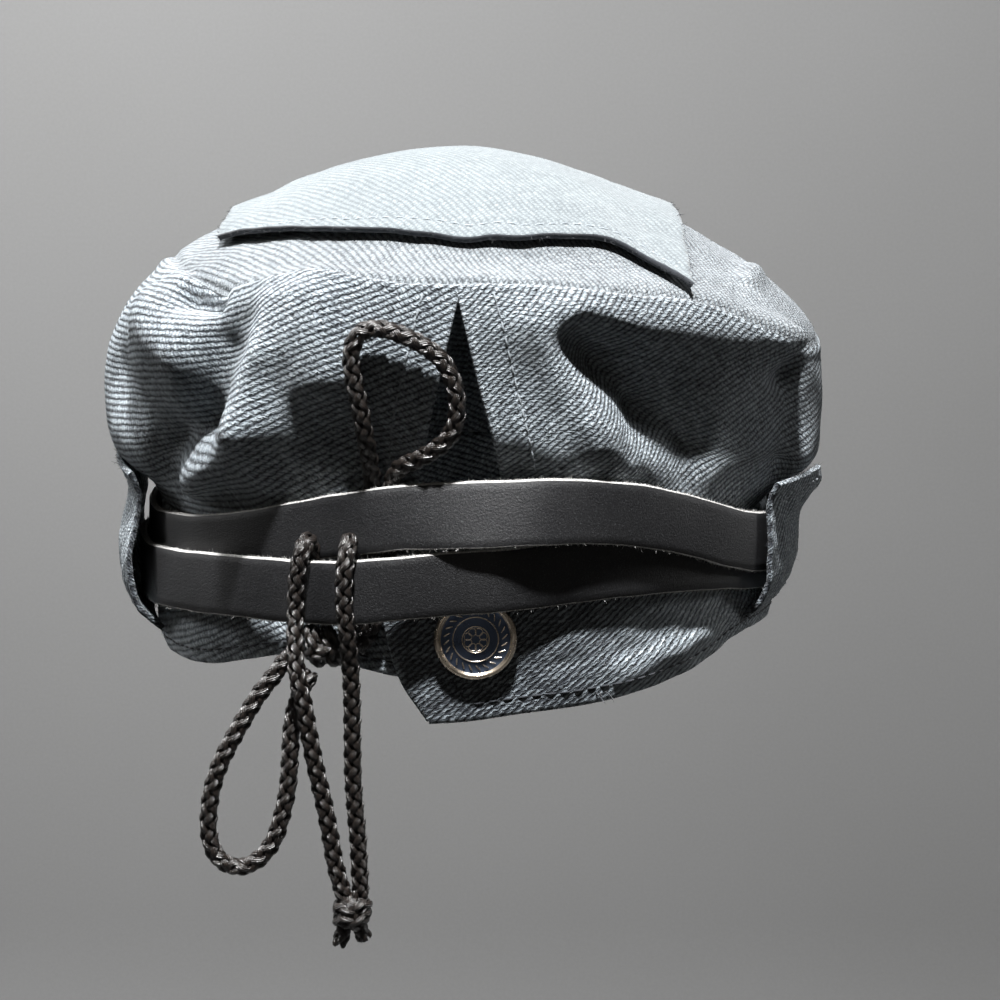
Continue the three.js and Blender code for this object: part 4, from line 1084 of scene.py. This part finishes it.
def make_strap(name, rows, lean):
    deg = np.linspace(-180, 180, STRAP_STATIONS + 1)[:, None]
    section = strap_section()
    out, rise, _ = section.T
    wave = sum(height * np.sin(np.radians(deg) * waves) for height, waves in STRAP_WAVES)
    leaning = lean * bump_at(deg - STRAP_LEAN_DEG, STRAP_LEAN_REACH) * rise / STRAP_WIDTH
    points = round_band(deg, smooth_around(rows, "out", deg) + out - leaning,
                        smooth_around(rows, "z", deg) + rise + wave * np.sign(rise))
    piece = Piece(f"{name}_leather", "leather", "leather_edge")
    uv = np.stack(np.broadcast_arrays(np.radians(deg) * STRAP_UV_RADIUS, rise), axis=-1)
    corners = [0, FACE_POINTS - 1, FACE_POINTS + 3, 2 * FACE_POINTS + 2, 2 * FACE_POINTS + 6]
    for side, (first, last) in enumerate(zip(corners, corners[1:])):
        columns = np.s_[:, first:last + 1]
        piece.grid(points[columns], uv[columns], material=side % 2, flip=True)
    for column in np.flatnonzero((section[:, 2] > 0) & (out == 0)):
        edge_fibres(piece, points[:, column], np.sign(rise[column]) * UP)
    piece.finish("leather", name)


def edge_fibres(piece, line, away):
    """Raw fibres standing from a cut edge."""
    roots, _ = along_line(line, EDGE_FIBRES)
    depth = random.uniform(-0.8, 0.8, (len(roots), 1))
    roots = roots + unit(roots * [1, 1, 0]) * depth
    ways = away + random.normal(size=roots.shape) * 0.55
    hairs(piece, roots - away * 0.1, ways, random.uniform(0.25, 0.75, len(roots)),
          radius=0.07, material=1, curl=0.35, steps=3)


# Belt loops

LOOP_LEFT_PATH = table("share rear front", [
    (0, 3.4, 2.8), (0.06, 6.4, 6.6), (0.14, 9.2, 8.8), (0.29, 11.5, 8.8), (0.46, 11.9, 8.8),
    (0.63, 10.9, 7.8), (0.77, 9.2, 7.3), (0.88, 8.8, 10.1), (1, 11.4, 13.9),
])
LOOP_RIGHT_PATH = table("share rear front", [
    (0, 2.4, 2.4), (0.08, 5, 5), (0.15, 6.8, 6.6), (0.3, 8.4, 8.4), (0.5, 8.8, 9), (0.64, 8.8, 9.2),
    (0.77, 8.8, 12), (0.89, 9, 14.6), (1, 11, 15),
])
LOOPS = {
    "loop_left": {"path": LOOP_LEFT_PATH, "rear_deg": -157.5, "front_deg": -186,
                  "bottom": 10.5, "top": 53, "closing": 3},
    "loop_right": {"path": LOOP_RIGHT_PATH, "rear_deg": -29, "front_deg": -11,
                   "bottom": 16, "top": 52, "closing": 1},
}
LOOP_COLUMNS = 44
LOOP_ROWS = 76
LOOP_RIPPLES = ((0.3, 11, 31), (0.15, 5, 32))
LOOP_EDGE_CURL = 0.4
LOOP_UV_RADIUS = 95
LOOP_RIBS = 62
# Rows of stitches, counted in mesh rows from each end
LOOP_SEAMS = (6, 10)
# For each kind of side: how far its rim bulges, its tone, and the spacing of its loose threads; the columns'
# dark tone is painted shade
LOOP_RIMS = {"column": (0.5, -1.2, 0.45), "row": (0.3, 0.2, 0.22)}
# The loops' loose threads take the near-black thread: painted shade
LOOP_FRAY = {"scatter": 0.3, "inset": 0.3, "spread": 0.4, "lengths": (0.39, 1.3), "radius": 0.12,
             "material": 2}


def make_loop(name, path, rear_deg, front_deg, bottom, top, closing):
    share = np.linspace(0, 1, LOOP_ROWS + 1)
    across = np.linspace(-1, 1, LOOP_COLUMNS + 1)
    rear, front = (smooth_table(path, "share", edge, share)[:, None] for edge in ("rear", "front"))
    deg = np.linspace(min(rear_deg, front_deg), max(rear_deg, front_deg), LOOP_COLUMNS + 1)
    out = rear + (front - rear) * ((deg - rear_deg) / (front_deg - rear_deg)) ** closing
    z = np.broadcast_to((bottom + share * (top - bottom))[:, None], out.shape)
    facing = unit(np.gradient(np.stack([out, z], axis=-1), axis=0))[..., ::-1] * [1, -1]
    fade = np.clip(np.minimum(share, 1 - share) / 0.1, 0.2, 1)[:, None]
    spread = (ripples(round_band(deg, out, z), LOOP_RIPPLES) + LOOP_EDGE_CURL * across ** 6) * fade
    outer, inner = (round_band(deg, out + lift * facing[..., 0], z + lift * facing[..., 1])
                    for lift in (spread, spread - LOOP_THICKNESS))
    uv = turned_uv(np.broadcast_to(np.radians(deg) * LOOP_UV_RADIUS, out.shape), z, LOOP_RIBS)
    piece = Piece(f"{name}_cloth", "denim", "thread_light", "thread_dark_and_painted_shade")
    near = LOOP_COLUMNS * (1 - np.abs(across)) / 2
    piece.grid(outer, uv, wear=0.2 + 0.3 * bump_at(near, 2.5))
    piece.grid(inner, uv, wear=-0.1, flip=True)
    for side in SIDES:
        bulge, wear, spacing = LOOP_RIMS[side.split()[1]]
        # Darker side rims on the columns: painted shade
        middle, toward = piece.rim(side, outer, inner, uv, bulge, wear=wear)
        fray(piece, middle, toward, spacing, **LOOP_FRAY)
    for step in LOOP_SEAMS:
        for row in (step, LOOP_ROWS - step):
            line = outer[row, 3:-3]
            stitches(piece, line, unit(line * [1, 1, 0]), 1)
    piece.finish("denim", name)


# Peak

PEAK_HALF_SPAN = 66.0
PEAK_ROOT_TOP = 7.0
PEAK_SLOPE = 0.34
PEAK_ROOT_GAP = 0.6
PEAK_REACH = 46.0
PEAK_END_REACH = 3.0
PEAK_THICKNESS = 3.0
PEAK_FULLNESS = 0.62
PEAK_SIDE_SHARE = 0.45
PEAK_COLUMNS = 200
PEAK_ROWS = 40
PEAK_RIBS = 40
# Insets of its two rows of stitches from the edge, how deep they pull the cloth, and how wide
PEAK_SEAMS = (5.0, 12.0)
PEAK_SEAM_DEPTH = 0.16
PEAK_SEAM_WIDTH = 0.9


def peak_reach(turn):
    return PEAK_END_REACH + (PEAK_REACH - PEAK_END_REACH) * np.maximum(1 - turn ** 2, 0) ** PEAK_FULLNESS


def peak_point(turn, share):
    """A point of the peak's upper face: turn runs from -1 to 1 round the front, share from root to edge."""
    angle = np.radians(90 + turn * PEAK_HALF_SPAN)
    out = share * peak_reach(turn)
    to_edge = peak_reach(turn) - out
    side = np.cos(angle) * (BAND_HALF_WIDTH + PEAK_ROOT_GAP + out * PEAK_SIDE_SHARE)
    front = np.sin(angle) * (BAND_HALF_LENGTH + PEAK_ROOT_GAP + out)
    sewn = PEAK_SEAM_DEPTH * sum(bump_at(to_edge - inset, PEAK_SEAM_WIDTH) for inset in PEAK_SEAMS)
    return np.stack([side, front, PEAK_ROOT_TOP - PEAK_SLOPE * out - sewn], axis=-1)


def make_peak():
    turn, share = np.meshgrid(np.linspace(1, -1, PEAK_COLUMNS + 1), np.linspace(0, 1, PEAK_ROWS + 1))
    over = peak_point(turn, share)
    under = over - PEAK_THICKNESS * UP
    uv = turned_uv(over[..., 0], over[..., 1], PEAK_RIBS)
    piece = Piece("peak_cloth", "denim", "thread_light")
    piece.grid(over, uv, wear=0.1 + 0.3 * bump_at(1 - share, 0.03))
    piece.grid(under, uv, flip=True)
    piece.rim("last row", over, under, uv, 1.1, wear=0.4)
    piece.rim("first row", over, under, uv, 0.1)
    for side, way in (("first column", -1), ("last column", 1)):
        piece.rim(side, over, under, uv, 0.6, np.array([way, 0, 0]))
    line = np.linspace(-0.97, 0.97, 400)
    for inset in PEAK_SEAMS:
        shown = line[peak_reach(line) > inset + 2]
        row = peak_point(shown, 1 - inset / peak_reach(shown))
        stitches(piece, row, np.broadcast_to([0, 0.32, 0.95], row.shape), 1)
    piece.finish("denim", "peak")


# Button

BUTTON_ALONG = 450.0
BUTTON_X = 4.0
BUTTON_Z = 22.4
BUTTON_GAP = 0.35
BUTTON_SIDES = 96
# Radius, height and material slot from the middle of the back round the rim to the middle of the face
BUTTON_PROFILE = [
    (0, 0, 0), (8.8, 0, 0), (9.6, 0.15, 0), (10.15, 0.6, 0), (10.25, 1.1, 0), (10.1, 1.6, 0),
    (9.75, 2.0, 0), (9.35, 2.1, 0), (8.95, 1.95, 0), (8.7, 1.6, 0), (8.55, 1.42, 1), (6, 1.62, 1),
    (3.0, 1.78, 1), (0, 1.85, 1),
]
# Slanted bars: how many, inner radius, length, slant in radians, height and radius of the wire
BUTTON_BARS = 24
BAR_START = 6.5
BAR_LENGTH = 1.35
BAR_SLANT = 0.16
BAR_HEIGHT = 1.66
BAR_WIRE = 0.2
# Rings round the face: radius and height
BUTTON_RINGS = np.array([(5.6, 1.66), (3.3, 1.76)])
RING_WIRE = 0.17
# Petals of the rosette: how many, middle radius, reach, half width in radians, height and radius of the wire
BUTTON_PETALS = 8
PETAL_MIDDLE = 2.0
PETAL_REACH = 0.95
PETAL_WIDTH = 0.462
PETAL_HEIGHT = 1.8
PETAL_WIRE = 0.13


def make_button():
    """Snap cap: a beaded rim round a dark face with a ring of slanted bars and a small rosette."""
    tab_out = float(smooth_table(BAND_ROWS, "along", "out", BUTTON_ALONG))
    angle = -math.acos(BUTTON_X / (BAND_HALF_WIDTH + tab_out))
    centre = round_band(math.degrees(angle), tab_out + BUTTON_GAP, BUTTON_Z)
    normal = unit(np.array([math.cos(angle) / (BAND_HALF_WIDTH + tab_out),
                            math.sin(angle) / (BAND_HALF_LENGTH + tab_out), 0]))
    side = np.cross(UP, normal)

    def placed(radius, turn, height):
        flat = side * (radius * np.cos(turn))[..., None] + UP * (radius * np.sin(turn))[..., None]
        return centre + flat + normal * np.asarray(height)[..., None]

    piece = Piece("button_metal", "nickel", "nickel_face_painted_reflection")
    turn = np.linspace(0, TURN, BUTTON_SIDES + 1)
    profile = np.array(BUTTON_PROFILE, float)
    split = int(np.flatnonzero(profile[:, 2] > 0)[0])
    # Slot 1, the face, carries the painted blue reflection
    for rows, material in ((profile[:split + 1], 0), (profile[split:], 1)):
        piece.grid(placed(rows[:, :1], turn, rows[:, 1:2]), material=material)
    share = np.linspace(0, 1, 7)
    radius = BAR_START + BAR_LENGTH * share
    starts = np.arange(BUTTON_BARS)[:, None] * TURN / BUTTON_BARS
    bars = placed(radius, starts + BAR_SLANT * share, BAR_HEIGHT - 0.02 * (radius - 6))
    tubes(piece, bars, BAR_WIRE * np.sin(np.clip(share, 0.08, 0.92) * math.pi) ** 0.4, 8)
    tubes(piece, placed(BUTTON_RINGS[:, :1], turn, BUTTON_RINGS[:, 1:]), RING_WIRE, 8)
    loop = np.linspace(0, TURN, 25)
    starts = (np.arange(BUTTON_PETALS)[:, None] + 0.5) * TURN / BUTTON_PETALS
    reach = PETAL_MIDDLE + PETAL_REACH * np.cos(loop)
    tubes(piece, placed(reach, starts + PETAL_WIDTH * np.sin(loop), PETAL_HEIGHT), PETAL_WIRE, 6)
    piece.finish("nickel", "button")


# Floor, lights and world

FLOOR_LEVEL = -0.8
FLOOR_REACH = 2.6
WALL_PLACE = 1.25
WALL_TOP = 1.6
CORNER_RADIUS = 0.3
WHITE = (1, 1, 1)
KEY_PLACE = (0.0, -0.52, 1.30)
KEY_TARGET = (0.0, -0.01, 0.05)
KEY_POWER = 310
KEY_CONE = math.radians(19)
WORLD_COLOR = (1.0, 0.95, 0.88, 1)
WORLD_STRENGTH = 0.035
# Soft lamps: place, target, size, power and colour
SOFT_LIGHTS = {
    "front_fill": ((-0.3, -1.5, 0.4), (0, 0, 0.05), 0.9, 0.7, (1.0, 0.93, 0.84)),
    "left_rim": ((-1.1, 0.42, 0.5), (0, 0, 0.06), 0.25, 5, WHITE),
    "right_rim": ((1.1, 0.50, 0.35), (0, 0, 0.06), 0.25, 3.5, WHITE),
    "backdrop": ((-0.42, 0.25, 1.0), (0.0, 1.25, -0.25), 0.5, 35, WHITE),
}


def add_stage():
    """A floor that bends up into a wall."""
    profile = [(-FLOOR_REACH, FLOOR_LEVEL), (WALL_PLACE - CORNER_RADIUS, FLOOR_LEVEL)]
    for angle in np.linspace(0, math.pi / 2, 13)[1:]:
        profile.append((WALL_PLACE - CORNER_RADIUS * (1 - math.sin(angle)),
                        FLOOR_LEVEL + CORNER_RADIUS * (1 - math.cos(angle))))
    profile.append((WALL_PLACE, WALL_TOP))
    points = [(x, y, z) for y, z in profile for x in (-FLOOR_REACH, FLOOR_REACH)]
    faces = [(2 * k, 2 * k + 1, 2 * k + 3, 2 * k + 2) for k in range(len(profile) - 1)]
    mesh = bpy.data.meshes.new("floor")
    mesh.from_pydata(points, [], faces)
    mesh.shade_smooth()
    n = Nodes("floor")
    tone = n.add(n.times(n.noise(3.0), 0.6), n.times(n.noise(420.0, 3.0), 0.5))
    mesh.materials.append(n.finish(n.mix(tone, (0.23, 0.23, 0.228), (0.29, 0.29, 0.291)), 0.95))
    floor = bpy.data.objects.new("floor", mesh)
    bpy.context.collection.objects.link(floor)


def add_light(name, kind, place, target, power, color, **settings):
    data = bpy.data.lights.new(name, kind)
    data.energy = power
    data.color = color
    for setting, value in settings.items():
        setattr(data, setting, value)
    add_aimed(name, data, place, target)


def add_lights():
    """A key lamp, whose cone is narrow enough to leave the floor dark, soft lamps and a dim world."""
    add_light("key", "SPOT", KEY_PLACE, KEY_TARGET, KEY_POWER, WHITE,
              shadow_soft_size=0.05, spot_size=KEY_CONE, spot_blend=0.25)
    for name, (place, target, size, power, color) in SOFT_LIGHTS.items():
        add_light(name, "AREA", place, target, power, color, shape="DISK", size=size)
    world = bpy.data.worlds.new("world")
    world.use_nodes = True
    background = world.node_tree.nodes["Background"]
    background.inputs[0].default_value = WORLD_COLOR
    background.inputs[1].default_value = WORLD_STRENGTH
    bpy.context.scene.view_settings.view_transform = "Standard"
    bpy.context.scene.world = world


add_camera()
make_cords()
make_crown()
make_top_panel()
make_band()
for strap_name, (strap_rows, strap_lean) in STRAPS.items():
    make_strap(strap_name, strap_rows, strap_lean)
for loop_name, sizes in LOOPS.items():
    make_loop(loop_name, **sizes)
make_peak()
make_button()
add_stage()
add_lights()
